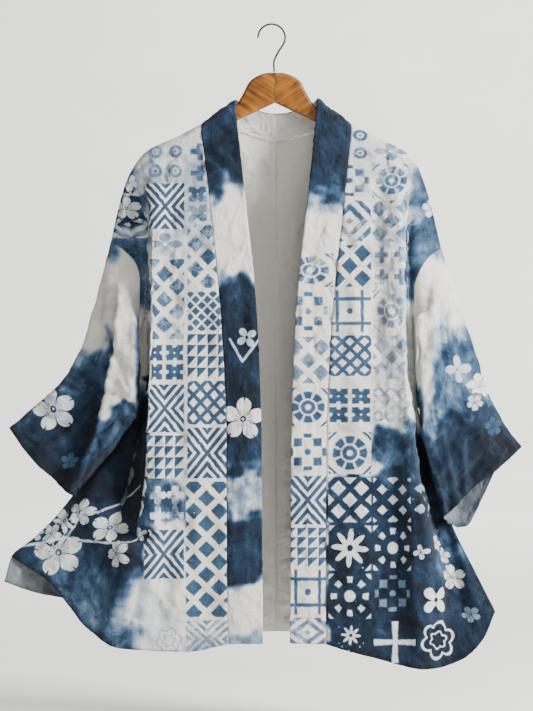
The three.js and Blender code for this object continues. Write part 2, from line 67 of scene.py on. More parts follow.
NECK_COLUMNS = ["across", "halfX", "y", "z"]
NECK_SEAM = table(NECK_COLUMNS, [
    [-1.00, 0, 32, -164],
    [-0.88, 13, 31.8, -163],
    [-0.50, 51, 27, -152],
    [-0.20, 86, 14, -143.5],
    [0.00, 107, 0, -141],
])
COLLAR_BACK = table(NECK_COLUMNS, [
    [-1.00, 0, 18, -125],
    [-0.88, 7, 17.8, -124.8],
    [-0.50, 26, 15.5, -121],
    [-0.18, 54, 11, -109],
])
RAIL_COLUMNS = ["across", "topX", "topZ", "x15", "x40", "x62", "x82", "xHem",
                "y15", "y40", "y62", "y82", "yHem", "zHem"]
RAILS = {
    ("front", "right"): table(RAIL_COLUMNS, [
        [0.00, -105, -141, -92, -75, -68.5, -68.5, -67, -34, -45, -49, -49, -45, -879],
        [0.30, -141, -160, -140, -129, -125, -125, -128, -36, -46, -50, -50, -47, -890],
        [0.58, -183, -180, -173, -176, -182, -201, -220, -44, -56, -60, -58, -50, -884],
        [0.75, -210, -218, -183, -184, -198, -236, -266, -17, -9, 8, -36, -42, -856],
        [0.88, -226, -272, -187, -189, -217, -272, -320, -19, -10, -8, -36, -38, -792],
        [1.00, -234, -309, -191, -198, -233, -300, -373, -18, -5, -10, -22, -32, -756],
    ]),
    ("front", "left"): table(RAIL_COLUMNS, [
        [0.00, 109, -141, 97, 79, 73, 72, 72, -34, -45, -49, -49, -45, -879],
        [0.30, 142, -158, 141, 138, 136, 136, 135, -36, -46, -50, -50, -48, -897],
        [0.58, 170, -172, 176, 181, 197, 212, 213, -44, -56, -62, -62, -56, -914],
        [0.75, 197, -190, 187, 189, 211, 243, 258, -17, -9, 0, -24, -40, -904],
        [0.88, 218, -240, 191, 193, 221, 264, 292, -19, -9, -8, -26, -36, -876],
        [1.00, 237, -317, 197, 201, 227, 262, 312, -18, -5, -10, -22, -32, -834],
    ]),
    ("back", "right"): table(RAIL_COLUMNS, [
        [-1.0, 2, -164, 2, 2, 2, 2, 2, 36, 34, 33, 31, 30, -868],
        [-0.5, -49, -152, -49, -49, -50, -53, -55, 38, 36, 34, 33, 33, -869],
        [0.00, -105, -141, -103, -103, -105, -109, -112, 40, 40, 38, 36, 35, -873],
        [0.30, -141, -160, -140, -140, -142, -149, -155, 40, 40, 38, 36, 34, -878],
        [0.58, -183, -180, -180, -176, -184, -198, -212, 38, 50, 48, 40, 32, -870],
        [0.75, -210, -218, -205, -190, -204, -243, -276, 30, 34, 26, 22, 12, -826],
        [0.88, -226, -272, -219, -200, -222, -280, -345, 24, 24, 14, 4, -10, -808],
        [1.00, -234, -309, -219, -209, -236, -310, -383, 22, 12, 0, -16, -36, -792],
    ]),
    ("back", "left"): table(RAIL_COLUMNS, [
        [-1.0, 2, -164, 2, 2, 2, 2, 2, 36, 34, 33, 31, 30, -868],
        [-0.5, 53, -152, 53, 53, 54, 57, 59, 38, 36, 34, 33, 33, -869],
        [0.00, 109, -141, 107, 107, 109, 113, 116, 40, 40, 38, 36, 35, -875],
        [0.30, 142, -158, 144, 144, 146, 152, 156, 40, 40, 38, 36, 34, -884],
        [0.58, 170, -172, 176, 180, 192, 204, 210, 38, 50, 48, 40, 32, -894],
        [0.75, 197, -190, 198, 196, 212, 238, 254, 30, 34, 26, 22, 14, -888],
        [0.88, 218, -240, 214, 205, 224, 262, 288, 24, 24, 14, 6, -8, -864],
        [1.00, 237, -317, 222, 207, 228, 270, 312, 22, 12, 0, -14, -32, -830],
    ]),
}
COLLAR_EDGE = {
    "right": table(RAIL_COLUMNS, [
        [-1, -56, -105, -44, -25, -19, -18, -17, -33, -46, -51, -51, -47, -878]])[0],
    "left": table(RAIL_COLUMNS, [
        [-1, 60, -105, 48, 29, 23, 22, 21, -33, -46, -51, -51, -47, -878]])[0],
}
SIDE_COLUMNS = ["z", "frontX", "frontY", "backX", "backY"]
SIDE = {
    "right": table(SIDE_COLUMNS, [
        [-309, -234, 0, -234, 0],
        [-322, -214, -13, -229, 13],
        [-342, -197, -22, -223, 22],
        [-363, -191, -17, -219, 24],
        [-430, -194, -6, -213, 20],
        [-486, -200, -2, -209, 12],
        [-540, -207, 0, -207, 0],
        [-600, -236, -6, -236, -6],
        [-640, -261, -11, -261, -11],
        [-669, -286, -15, -286, -15],
        [-702, -313, -21, -313, -21],
        [-731, -343, -27, -343, -27],
        [-756, -373, -31, -373, -31],
        [-792, -383, -36, -383, -36],
    ]),
    "left": table(SIDE_COLUMNS, [
        [-317, 237, 0, 237, 0],
        [-330, 219, -13, 232, 13],
        [-350, 205, -22, 227, 22],
        [-376, 197, -17, 222, 24],
        [-439, 197, -6, 213, 20],
        [-490, 200, -2, 208, 12],
        [-545, 203, 0, 203, 0],
        [-640, 226, -8, 226, -8],
        [-715, 253, -18, 253, -18],
        [-780, 285, -26, 285, -26],
        [-834, 312, -32, 312, -32],
    ]),
}
SLEEVE_COLUMNS = ["along", "ridgeX", "ridgeY", "ridgeZ", "facetX", "facetY", "facetZ",
                  "crestX", "crestY", "crestZ", "lowX", "lowY", "lowZ", "underX", "underY", "underZ",
                  "backHighY", "backLowY", "drop"]
SLEEVE = {
    "right": table(SLEEVE_COLUMNS, [
        [0.20, -256, 0, -392, -229, -36, -400, -195, -46, -430, -191, -42, -500, -205, -20, -553, 26, 20, 0],
        [0.42, -281, 0, -470, -238, -36, -480, -198, -50, -495, -192, -40, -537, -216, -22, -572, 24, 18, 0],
        [0.62, -307, -2, -511, -258, -37, -535, -224, -48, -555, -218, -34, -580, -240, -18, -602, 20, 14, 0],
        [0.82, -345, -6, -546, -300, -34, -586, -266, -40, -611, -264, -28, -634, -270, -14, -645, 14, 8, 0],
        [1.00, -378, -12, -575, -350, -30, -612, -318, -34, -645, -302, -27, -662, -289, -18, -669, 6, -2, 0],
    ]),
    "left": table(SLEEVE_COLUMNS, [
        [0.20, 259, 0, -388, 238, -36, -400, 203, -44, -420, 200, -40, -490, 209, -20, -560, 26, 20, 0],
        [0.42, 286, 0, -466, 254, -40, -480, 212, -47, -500, 205, -39, -555, 214, -25, -590, 24, 18, 0],
        [0.62, 307, -2, -530, 272, -40, -545, 232, -43, -582, 217, -36, -616, 221, -27, -632, 20, 12, 8],
        [0.82, 332, -6, -576, 298, -36, -603, 258, -36, -641, 232, -34, -664, 230, -29, -670, 14, 6, 20],
        [1.00, 351, -10, -602, 318, -30, -631, 278, -30, -664, 250, -34, -691, 239, -32, -702, 4, -9, 42],
    ]),
}
SLEEVE_RAILS = {"facet": 0.12, "crest": 0.26, "low": 0.37, "under": 0.46, "backLow": 0.66, "backHigh": 0.84}
BACK_LOW_AT = 0.72  # how far down from the ridge to the under edge the back's two rails run
BACK_HIGH_AT = 0.28

# ---------------------------------------------------------------- how thick and how fine the cloth is meshed
SHELL = 1.1
COLLAR_SHELL = 2.4
ROLL_STEPS = 9
DOWN_STEPS = 215
ACROSS_STOPS = [0, 0.3, 0.58, 0.75, 0.88, 1]
FRONT_ACROSS_STEPS = [14, 30, 26, 14, 12]
BACK_ACROSS_STEPS = [34, 12, 18, 14, 14, 12]
SLEEVE_ALONG_STEPS = 120
COLLAR_ACROSS_STEPS = 26
NECK_STEPS = 60


# ---------------------------------------------------------------- smooth curves and surfaces
def hermite(at, values, slope, x):
    """Reads at x the cubic curve that goes through the values with the given slopes."""
    i = np.clip(np.searchsorted(at, x, side="left") - 1, 0, len(at) - 2)
    h = (at[i + 1] - at[i]).reshape((-1,) + (1,) * (values.ndim - 1))
    s = np.clip((x - at[i]).reshape(h.shape) / h, 0, 1)
    rest = 1 - s
    return (values[i] * (1 + 2 * s) * rest ** 2 + slope[i] * h * s * rest ** 2
            + values[i + 1] * s ** 2 * (3 - 2 * s) - slope[i + 1] * h * s ** 2 * rest)


def smooth(at, values):
    """A curve through points that never overshoots them. values may hold several curves side by side."""
    at, values = np.asarray(at, float), np.asarray(values, float)
    step = np.diff(at).reshape((-1,) + (1,) * (values.ndim - 1))
    rise = np.diff(values, axis=0) / step
    slope = np.zeros_like(values)
    slope[0], slope[-1] = rise[0], rise[-1]
    before, after = step[:-1] + 2 * step[1:], 2 * step[:-1] + step[1:]
    left, right = rise[:-1], rise[1:]
    with np.errstate(divide="ignore", invalid="ignore"):
        mean = (before + after) / (before / left + after / right)
    slope[1:-1] = np.where(left * right > 0, mean, 0)
    return lambda x: hermite(at, values, slope, np.asarray(x, float))


def run_length(points):
    """How far each point lies along the line through all of them."""
    return np.append(0, np.cumsum(np.linalg.norm(np.diff(points, axis=0), axis=1)))


def through_points(points, count):
    """Evenly spaced points on a soft curve through the given ones."""
    points = np.array(points, float)
    run = run_length(points)
    return hermite(run, points, np.gradient(points, run, axis=0), np.linspace(0, run[-1], count))


def column(rows, *names):
    """A named column of a table, or several side by side."""
    found = np.array([[row[name] for name in names] for row in rows], float)
    return found[:, 0] if len(names) == 1 else found


def ramp(x, low, high):
    s = np.clip((x - low) / (high - low), 0, 1)
    return s * s * (3 - 2 * s)


def band(x, low, high, edge):
    """1 between low and high and 0 outside, with borders that take edge to fade."""
    half = edge / 2
    return ramp(x, low - half, low + half) * (1 - ramp(x, high - half, high + half))


def spread(stops, counts):
    """Places from each stop to the next, in as many even steps as its count says."""
    parts = [np.linspace(a, b, n + 1)[1:] for a, b, n in zip(stops, stops[1:], counts)]
    return np.concatenate([[stops[0]], *parts])


def panel_points(name, side, across):
    """The outer face of a front or back as points [row, column, xyz], in mm from the hanger's middle."""
    rails = RAILS[name, side]
    ridge = [rail for rail in rails if rail["across"] >= 0]
    outward = -1 if name == "front" else 1
    sign = math.copysign(1, ridge[0]["topX"])
    in_neck = across < 0

    def curve(rows, key):
        return smooth(column(rows, "across"), column(rows, key))(across)

    top_x = np.where(in_neck, BACK_SEAM_X + sign * curve(NECK_SEAM, "halfX"), curve(ridge, "topX"))
    top_y = np.where(in_neck, curve(NECK_SEAM, "y"), 0)
    top_z = np.where(in_neck, curve(NECK_SEAM, "z"), curve(ridge, "topZ"))
    start = np.arcsin(np.minimum(1, top_y / SHOULDER_R))
    straight = SHOULDER_R * start
    main_z = top_z - SHOULDER_R * np.cos(start) - straight
    roll_y = top_y + SHOULDER_R * (1 - np.sin(start))

    turned = np.linspace(0, 1, ROLL_STEPS + 1)[:-1, None]
    angle = start + (math.pi / 2 - start) * turned
    fall = SHOULDER_R * (np.cos(start) - np.cos(angle)) + straight * turned
    rolled = np.stack([np.broadcast_to(top_x, angle.shape),
                       outward * (top_y + SHOULDER_R * (np.sin(angle) - np.sin(start))),
                       top_z - fall], 2)
    down = np.linspace(0, 1, DOWN_STEPS + 1)
    level_x, level_y = ([curve(rails, axis + level) for level in LEVEL_NAMES] for axis in "xy")
    hung = np.stack([smooth(LEVELS, np.stack([top_x, *level_x]))(down),
                     smooth(LEVELS, np.stack([outward * roll_y, *level_y]))(down),
                     main_z + (curve(rails, "zHem") - main_z) * down[:, None]], 2)
    points = np.concatenate([rolled, hung])
    edge = points[:, -1].copy()
    upward = SIDE[side][::-1]
    seam = smooth(column(upward, "z"), column(upward, name + "X", name + "Y"))(edge[:, 2])
    points[..., :2] += ramp(across, PULL_FROM, 1)[None, :, None] * (seam - edge[:, :2])[:, None]
    apart = SEAM / 2 + CLOTH_WALL * ramp(-points[..., 2], -top_z[-1], -UNDERARM[side])
    points[..., 1] += outward * apart
    return points


def grid_normals(points, closed=False):
    """Each point's normal, from its neighbours. A closed grid's last column meets its first."""
    along = np.roll(points, -1, 1) - np.roll(points, 1, 1) if closed else np.gradient(points, axis=1)
    normal = np.cross(along, np.gradient(points, axis=0))
    return normal / np.maximum(np.linalg.norm(normal, axis=2, keepdims=True), 1e-9)


# ---------------------------------------------------------------- uneven cloth
def waves(seed, count, shortest, longest, steep):
    """Soft random swells: plane waves of mixed length, most of them running down the cloth."""
    draw = np.random.default_rng(seed)
    length = np.exp(draw.uniform(math.log(shortest), math.log(longest), count))
    turn = draw.normal(0, steep, count)
    phase = draw.uniform(0, 2 * math.pi, count)
    weight = length / longest
    weight /= math.sqrt((weight ** 2).sum() / 2)

    def field(x, z):
        total = np.zeros_like(x)
        for wave, angle, offset, size in zip(length, turn, phase, weight):
            total += size * np.sin(2 * math.pi * (x * math.cos(angle) + z * math.sin(angle)) / wave + offset)
        return total

    return field


def crease_field(rows, x, z):
    """Creases listed one by one: depth in mm, out for a ridge and in for a trough, each with its own run."""
    total = np.zeros_like(x)
    for row in rows:
        run = np.array([row["x1"] - row["x0"], row["z1"] - row["z0"]])
        length = np.linalg.norm(run)
        run = run / length
        along = (x - row["x0"]) * run[0] + (z - row["z0"]) * run[1]
        bow = row["bow"] * 4 * (along / length) * (1 - along / length)
        off = (x - row["x0"]) * -run[1] + (z - row["z0"]) * run[0] - bow
        fade = ramp(along, -0.25 * length, 0.2 * length) * (1 - ramp(along, 0.75 * length, 1.2 * length))
        total += row["depth"] * fade * np.exp(-(off / row["width"]) ** 2)
    return total


CREASE_GAIN = 1.35
CREASE_COLUMNS = ["x0", "z0", "x1", "z1", "width", "depth", "bow"]
FRONT_CREASES = table(CREASE_COLUMNS, [
    [-150, -210, -158, -520, 11, -2.4, 4],  # right front, beside the crest
    [-118, -330, -112, -700, 16, 2.2, -5],
    [-96, -420, -92, -800, 12, -2.0, 4],
    [-166, -560, -182, -850, 12, 3.0, 6],
    [-140, -640, -158, -880, 12, -2.8, -4],
    [-192, -590, -222, -706, 9, 5.0, 5],  # the dark inner fold beside the body
    [-172, -600, -196, -700, 10, -4.5, 4],
    [-224, -708, -170, -728, 13, -11.0, -8],  # the scoop above the lip
    [-236, -742, -158, -738, 9, 4.0, -9],  # the lip
    [-222, -700, -300, -796, 10, -4.0, -8],
    [-250, -650, -345, -752, 8, 3.4, 6],
    [-210, -760, -240, -868, 8, 3.6, 6],
    [-246, -770, -300, -850, 9, -3.4, -5],
    [-275, -790, -230, -874, 8, 2.8, 4],
    [-322, -700, -352, -776, 6, -2.6, 3],
    [-198, -236, -206, -300, 6, -2.0, 2],
    [-160, -238, -120, -262, 7, 1.4, 3],
    [-150, -402, -92, -436, 8, -1.3, 4],
    [148, -230, 152, -560, 10, -2.4, -4],  # left front
    [112, -360, 106, -720, 15, 2.2, 5],
    [168, -600, 176, -880, 12, -3.0, 5],
    [186, -560, 206, -900, 9, 3.4, -5],
    [150, -470, 142, -700, 12, 1.8, -4],
    [128, -700, 134, -885, 14, 2.4, -4],
    [222, -640, 240, -890, 8, 3.6, -5],
    [204, -600, 226, -760, 7, -6.0, 4],
    [240, -700, 272, -880, 8, -3.6, 5],
    [256, -740, 300, -850, 8, 3.0, -4],
    [206, -240, 214, -300, 6, -2.0, -2],
    [92, -300, 150, -330, 8, 1.3, 4],
])
COLLAR_CREASES = table(CREASE_COLUMNS, [
    [-58, -190, -44, -480, 8, -1.5, 3],
    [-38, -300, -30, -620, 7, 1.0, 3],
    [-60, -380, -26, -404, 6, 1.2, 2],
    [-58, -560, -26, -540, 6, -1.2, 2],
    [-50, -640, -44, -840, 9, 1.4, 2],
    [62, -190, 48, -500, 8, -1.5, -3],
    [42, -330, 34, -640, 7, 1.0, -3],
    [26, -430, 60, -446, 6, 1.1, 2],
    [46, -600, 48, -830, 9, 1.4, 2],
])
BACK_CREASES = table(CREASE_COLUMNS, [
    [-40, -230, -46, -800, 20, -3.0, 6],
    [-20, -300, -24, -620, 7, 1.2, -3],
    [-86, -300, -92, -840, 14, 3.2, -6],
    [-128, -260, -140, -760, 13, -3.2, 5],
    [-160, -420, -190, -850, 12, 3.4, -5],
    [-210, -600, -262, -830, 9, -3.8, 5],
    [-240, -640, -320, -800, 9, 3.6, 5],
    [28, -240, 22, -520, 7, -1.2, 3],
    [46, -260, 50, -840, 17, 3.0, 6],
    [92, -240, 98, -760, 13, -3.2, -5],
    [134, -330, 146, -870, 14, 2.8, 5],
    [168, -300, 180, -700, 11, -3.0, -4],
    [206, -600, 240, -880, 10, 3.6, 4],
    [230, -640, 284, -850, 8, -3.2, 4],
])
SLEEVE_CREASES = {
    "right": table(CREASE_COLUMNS, [
        [-214, -340, -206, -450, 7, -2.2, 3],
        [-252, -380, -214, -470, 6, 2.0, 5],
        [-262, -430, -206, -520, 6, -2.8, 5],
        [-240, -470, -196, -530, 5, 2.6, 4],
        [-246, -520, -200, -548, 5, -3.0, 3],
        [-252, -556, -196, -556, 4, 2.8, 3],  # gathers that run to the pinched lower end
        [-250, -580, -204, -562, 4, -3.2, 2],
        [-262, -598, -218, -570, 4, 2.6, 2],
        [-222, -500, -192, -540, 4, 2.2, -2],
        [-330, -560, -262, -620, 7, -2.4, 5],
        [-232, -345, -246, -430, 6, 1.8, -3],
        [-350, -585, -300, -640, 7, 1.8, 3],
        [-300, -560, -322, -610, 8, -1.6, 3],
    ]),
    "left": table(CREASE_COLUMNS, [
        [222, -345, 212, -470, 7, -2.2, -3],
        [254, -380, 222, -470, 6, 2.0, -5],
        [268, -430, 216, -520, 6, -2.8, -5],
        [248, -460, 208, -560, 5, 2.4, -4],
        [290, -500, 222, -590, 6, -2.8, -6],
        [306, -560, 232, -640, 6, 2.6, -5],
        [330, -590, 250, -670, 7, -2.2, -4],
        [240, -345, 250, -430, 6, 1.8, 3],
        [236, -600, 248, -690, 5, -2.6, 3],
        [262, -600, 270, -672, 5, 2.4, 3],
        [228, -640, 242, -700, 4, 2.2, 2],
    ]),
}
# Where the sleeve's swelling inner part ends and its outer part falls back behind it: a line of (x, z).
SLEEVE_STEP = {
    "right": [(-219, -330), (-224, -400), (-231, -460), (-241, -510), (-248, -552), (-264, -600),
              (-286, -645), (-302, -672)],
    "left": [(226, -400), (232, -470), (236, -530), (240, -590), (252, -640), (266, -690)],
}
STEP_FALL = {"right": 12.0, "left": 6.0}
STEP_WIDTH = 5
UNDER_SAG = {"right": 4.5, "left": 1.0}  # how much lower the soft under edge hangs than the plain form
SHADE_PIT_REACH = {"right": 190, "left": 203}  # painted shade: dark deep beside the body, under the arm, where shade falls
SHADE_PIT_TOP = {"right": 400, "left": 500}
STEP_SHARP = {"right": (-5, 2), "left": (-26, 10)}  # where the dye changes beside that line
front_swell = waves(3, 26, 60, 240, 0.35)
back_swell = waves(5, 26, 70, 260, 0.3)
sleeve_swell = waves(8, 30, 32, 120, 1.2)
crumple = waves(31, 90, 14, 60, 1.6)
linen = waves(12, 120, 5, 20, 1.6)


def small_uneven(x, z):
    """Crumples and slubs of plain linen, in mm."""
    warp = 6 * crumple(z + 40, x)
    return 1.15 * crumple(x + warp, z) + 0.5 * linen(x + warp, z - warp)


def unfold(points, start_column):
    """How far across the cloth each point of a panel lies, measured from a column where it lies flat."""
    step = np.linalg.norm(np.diff(points[..., :2], axis=1), axis=2)
    sign = np.sign(points[-1, -1, 0] - points[-1, 0, 0])
    run = np.pad(np.cumsum(step, 1), ((0, 0), (1, 0)))
    run = (run - run[:, [start_column]]) * sign
    return points[:, [start_column], 0] + run


# ---------------------------------------------------------------- print: a chart of common motifs
KINDS = ["plain", "cross", "diamonds", "lozenges", "checks", "dots", "triangles", "chevron", "octagon",
         "squares", "rhombs", "framed", "puzzle", "star", "wheel", "ovals", "circles", "plus", "ringflower",
         "blossom", "petals", "quilt"]
KIND = {name: number for number, name in enumerate(KINDS)}
LATTICES = {"diamonds", "lozenges", "checks", "ovals"}  # these repeat at one scale, whatever the tile's size
LATTICE_HALF = 29
FLOWER_REACH = 1.1  # a flower's petals may pass its radius by a tenth
WHOLE = 99  # a flower isn't cut off by a tile's edge
FADED, CRISP = 0.62, 0.12  # how much of a motif the block missed
# ground -1 leaves the dye that is there.
TILE_COLUMNS = ["x0", "x1", "z0", "z1", "kind", "ink", "ground"]
FRONT_TILES = table(TILE_COLUMNS, [
    [-125, -50, -166, -228, "cross", 0.62, -1],  # right front, beside the collar
    [-125, -64, -230, -284, "puzzle", 0.66, -1],
    [-125, -64, -286, -378, "diamonds", 0.70, -1],
    [-125, -66, -380, -438, "checks", 0.66, 0.06],
    [-125, -66, -440, -504, "triangles", 0.70, 0.06],
    [-125, -66, -506, -570, "dots", 0.70, 0.05],
    [-125, -66, -572, -646, "chevron", 0.72, 0.05],
    [-127, -66, -648, -842, "diamonds", 0.68, 0.05],
    [-127, -66, -844, -900, "chevron", 0.50, -1],
    [-184, -127, -168, -224, "circles", 0.56, -1],  # right front, the outer column
    [-184, -127, -226, -294, "chevron", 0.72, 0.08],
    [-184, -127, -296, -332, "petals", 0.46, -1],
    [-184, -127, -334, -450, "diamonds", 0.64, -1],
    [-184, -127, -454, -508, "puzzle", 0.72, 0.05],
    [-184, -127, -511, -581, "chevron", 0.72, 0.06],
    [-184, -127, -583, -646, "triangles", 0.70, 0.08],
    [-178, -127, -654, -712, "quilt", 0.05, -1],
    [-186, -127, -716, -788, "chevron", 0.70, 0.07],
    [-240, -184, -214, -262, "petals", 0.08, -1],
    [-240, -184, -264, -306, "rhombs", 0.10, -1],
    [74, 137, -146, -196, "circles", 0.62, -1],  # left front, beside the collar
    [74, 137, -198, -249, "squares", 0.66, -1],
    [74, 137, -251, -312, "rhombs", 0.66, -1],
    [74, 137, -314, -376, "diamonds", 0.70, 0.06],
    [74, 137, -378, -440, "framed", 0.62, 0.05],
    [74, 137, -442, -502, "dots", 0.66, 0.05],
    [74, 137, -516, -568, "puzzle", 0.72, 0.05],
    [74, 137, -578, -640, "octagon", 0.70, 0.05],
    [74, 137, -642, -708, "lozenges", 0.05, 0.86],
    [74, 137, -710, -776, "star", 0.05, 0.90],
    [74, 137, -778, -844, "wheel", 0.05, 0.90],
    [137, 194, -166, -196, "petals", 0.50, -1],  # left front, the outer column
    [137, 194, -198, -249, "octagon", 0.64, -1],
    [137, 194, -251, -312, "diamonds", 0.56, -1],
    [137, 194, -314, -376, "cross", 0.50, -1],
    [137, 194, -378, -440, "octagon", 0.46, -1],
    [137, 194, -442, -506, "lozenges", 0.40, -1],
    [137, 190, -516, -566, "dots", 0.34, -1],
    [137, 194, -642, -708, "ovals", 0.06, 0.88],
    [137, 194, -710, -776, "wheel", 0.05, 0.90],
    [137, 194, -778, -836, "squares", 0.42, 0.92],
    [194, 244, -646, -700, "ovals", 0.30, 0.90],
])
COLLAR_TILES = table(TILE_COLUMNS, [
    [16, 84, -326, -376, "octagon", 0.64, -1],
    [16, 78, -378, -440, "squares", 0.62, -1],
    [16, 78, -444, -512, "diamonds", 0.50, -1],
    [16, 77, -516, -573, "octagon", 0.70, 0.05],
    [16, 76, -578, -637, "squares", 0.66, 0.05],
    [16, 76, -640, -711, "chevron", 0.70, 0.05],
    [16, 76, -713, -770, "triangles", 0.66, 0.07],
    [16, 76, -772, -838, "framed", 0.64, 0.05],
    [16, 76, -840, -884, "rhombs", 0.54, -1],
])
BACK_KINDS = ["chevron", "diamonds", "puzzle", "octagon", "triangles", "framed", "rhombs", "checks",
              "squares", "dots", "star", "lozenges"]
BACK_TILE = 59

FLOWER_COLUMNS = ["x", "z", "radius", "turn", "kind", "ink"]
FRONT_FLOWERS = table(FLOWER_COLUMNS, [
    [-310, -750, 35, 0.5, "blossom", 0.05],
    [-247, -716, 22, 0.1, "blossom", 0.07],
    [-306, -706, 19, 0.9, "blossom", 0.14],
    [-283, -694, 19, 1.4, "blossom", 0.12],
    [-322, -724, 15, 1.0, "blossom", 0.16],
    [-222, -752, 20, 0.7, "blossom", 0.08],
    [-345, -722, 13, 0.2, "blossom", 0.26],
    [-190, -724, 12, 0.4, "petals", 0.20],
    [-150, -874, 22, 0.2, "ringflower", 0.30],
    [-212, -262, 17, 0.3, "blossom", 0.10],
    [-208, -226, 13, 1.0, "blossom", 0.16],
    [169, -876, 33, 0, "plus", 0.04],
    [228, -816, 25, 0.785, "petals", 0.04],
    [233, -873, 32, 0.3, "ringflower", 0.05],
    [107, -866, 17, 0, "star", 0.12],
    [270, -786, 19, 0.4, "blossom", 0.06],
    [250, -738, 13, 1.1, "blossom", 0.10],
    [262, -756, 12, 0.2, "blossom", 0.12],
    [206, -748, 12, 0.2, "petals", 0.14],
    [224, -262, 15, 0.4, "blossom", 0.16],
    [286, -838, 12, 0.8, "blossom", 0.32],
])
COLLAR_FLOWERS = table(FLOWER_COLUMNS, [
    [-45, -561, 31, 0.25, "blossom", 0.03],
    [-40, -446, 17, 0.6, "petals", 0.20],
])
BACK_FLOWERS = table(FLOWER_COLUMNS, [
    [-300, -740, 32, 0.4, "blossom", 0.06],
    [-254, -706, 20, 1.1, "blossom", 0.12],
    [-240, -790, 22, 0.2, "blossom", 0.10],
    [-330, -776, 17, 0.8, "blossom", 0.16],
    [246, -800, 30, 0.4, "ringflower", 0.08],
    [226, -726, 20, 0.9, "blossom", 0.12],
    [272, -846, 18, 0.1, "blossom", 0.16],
    [0, -300, 40, 0.2, "blossom", 0.06],
    [-60, -250, 24, 0.9, "blossom", 0.10],
    [62, -262, 22, 0.5, "blossom", 0.10],
])
SLEEVE_FLOWERS = {
    "right": table(FLOWER_COLUMNS, [
        [-315, -548, 31, 0.55, "blossom", 0.10],
        [-292, -622, 14, 0.2, "blossom", 0.60],
    ]),
    "left": table(FLOWER_COLUMNS, [
        [292, -514, 18, 0.4, "blossom", 0.05],
        [284, -538, 12, 1.0, "blossom", 0.20],
        [262, -490, 22, 0.1, "petals", 0.16],
        [310, -572, 14, 0.5, "blossom", 0.66],
    ]),
}
# Branches between the blossoms: each is a line of (x, z) points.
BRANCHES = [
    [(-362, -742), (-302, -729), (-281, -733), (-254, -736), (-231, -739), (-206, -733), (-186, -722)],
    [(-264, -695), (-250, -684), (-227, -670), (-208, -655)],
    [(-302, -729), (-290, -712), (-281, -694)],
]
COLLAR_LINES = [[(-64, -448), (-46, -480), (-20, -446)]]
BACK_BRANCHES = [
    [(-366, -760), (-300, -742), (-250, -706), (-222, -660)],
    [(-300, -742), (-240, -790)],
    [(-90, -262), (-30, -290), (30, -286), (96, -258)],
]

# Dye washes: a soft box each, over the one before. edge is how far its border takes to fade.
WASH_COLUMNS = ["x0", "x1", "z0", "z1", "edge", "dye"]
FRONT_WASHES = table(WASH_COLUMNS, [
    [-260, -60, -130, -330, 70, 0.20],  # right front: pale mottling at the shoulder
    [-200, -125, -340, -440, 40, 0.12],
    [-280, -190, -205, -322, 26, 0.70],
    [-226, -196, -300, -420, 16, 0.34],
    [-440, -196, -555, -800, 34, 0.84],
    # The hollow beside the body goes near-black: partly dye, partly painted shade.
    [-250, -176, -612, -770, 26, 0.92],
    [-236, -178, -500, -735, 12, 1.0],
    [-186, -120, -640, -716, 26, 0.66],
    [-330, -196, -775, -900, 46, 0.70],
    [-216, -140, -800, -910, 50, 0.12],
    [-260, -190, -850, -900, 30, 0.62],
    [-130, -60, -862, -910, 26, 0.24],
    [60, 190, -130, -250, 60, 0.14],  # left front
    [140, 240, -240, -520, 60, 0.16],
    [198, 280, -200, -335, 24, 0.66],
    [136, 240, -572, -660, 22, 0.74],
    [136, 340, -636, -940, 20, 0.88],
    [70, 150, -640, -940, 18, 0.90],
    [220, 330, -700, -800, 40, 0.76],
    [250, 340, -780, -940, 30, 0.90],
])
COLLAR_WASHES = table(WASH_COLUMNS, [
    [-130, 0, -60, -232, 50, 0.90],  # right side
    [-130, 0, -252, -335, 40, 0.05],
    [-130, 0, -362, -640, 36, 0.88],
    [-130, 0, -640, -690, 46, 0.36],
    [-130, 0, -694, -792, 30, 0.90],
    [-130, 0, -796, -872, 44, 0.06],
    [-130, 0, -862, -900, 22, 0.34],
    [6, 130, -60, -252, 46, 0.86],  # left side
    [6, 130, -274, -330, 40, 0.05],
])
# How dark each sleeve's dye goes. The right sleeve faces away from the lamps, so its higher value is partly
# painted shade.
SLEEVE_DYE_AND_SHADE = {"right": 0.97, "left": 0.88}
VALLEY_ACROSS = (0.64, 0.71)  # where the valley between the side fold and the armhole starts
VALLEY_COLUMNS = ["z0", "z1", "edge", "dye"]
# How dark the valley goes, by height: partly dye, partly painted shade where the fold shades it.
VALLEY_DYE_AND_SHADE = {
    "right": table(VALLEY_COLUMNS, [
        [-296, -404, 36, 0.62],
        [-520, -694, 44, 0.98],
    ]),
    "left": table(VALLEY_COLUMNS, [
        [-312, -398, 26, 0.74],
        [-578, -672, 30, 0.98],
    ]),
}
BACK_WASHES = table(WASH_COLUMNS, [
    [-300, 300, -100, -235, 60, 0.84],
    [-110, 110, -225, -330, 50, 0.66],
    [-440, -190, -560, -900, 50, 0.88],
    [190, 440, -560, -930, 50, 0.88],
    [-440, 440, -800, -930, 60, 0.84],
    [150, 330, -490, -760, 16, 0.97],  # behind the side folds: near-black, partly dye and partly painted shade
    [-330, -150, -490, -780, 16, 0.97],
    [-440, -330, -720, -900, 20, 0.62],
])
CLEAR_DYE = 0.05  # what undyed cloth has
BACK_TILES_TOP = -330
BACK_TILE_ROWS = 10
TILE_GAP = 2
DARK_TILE = (0.06, 0.88)
PALE_TILE = (0.66, 0.05)


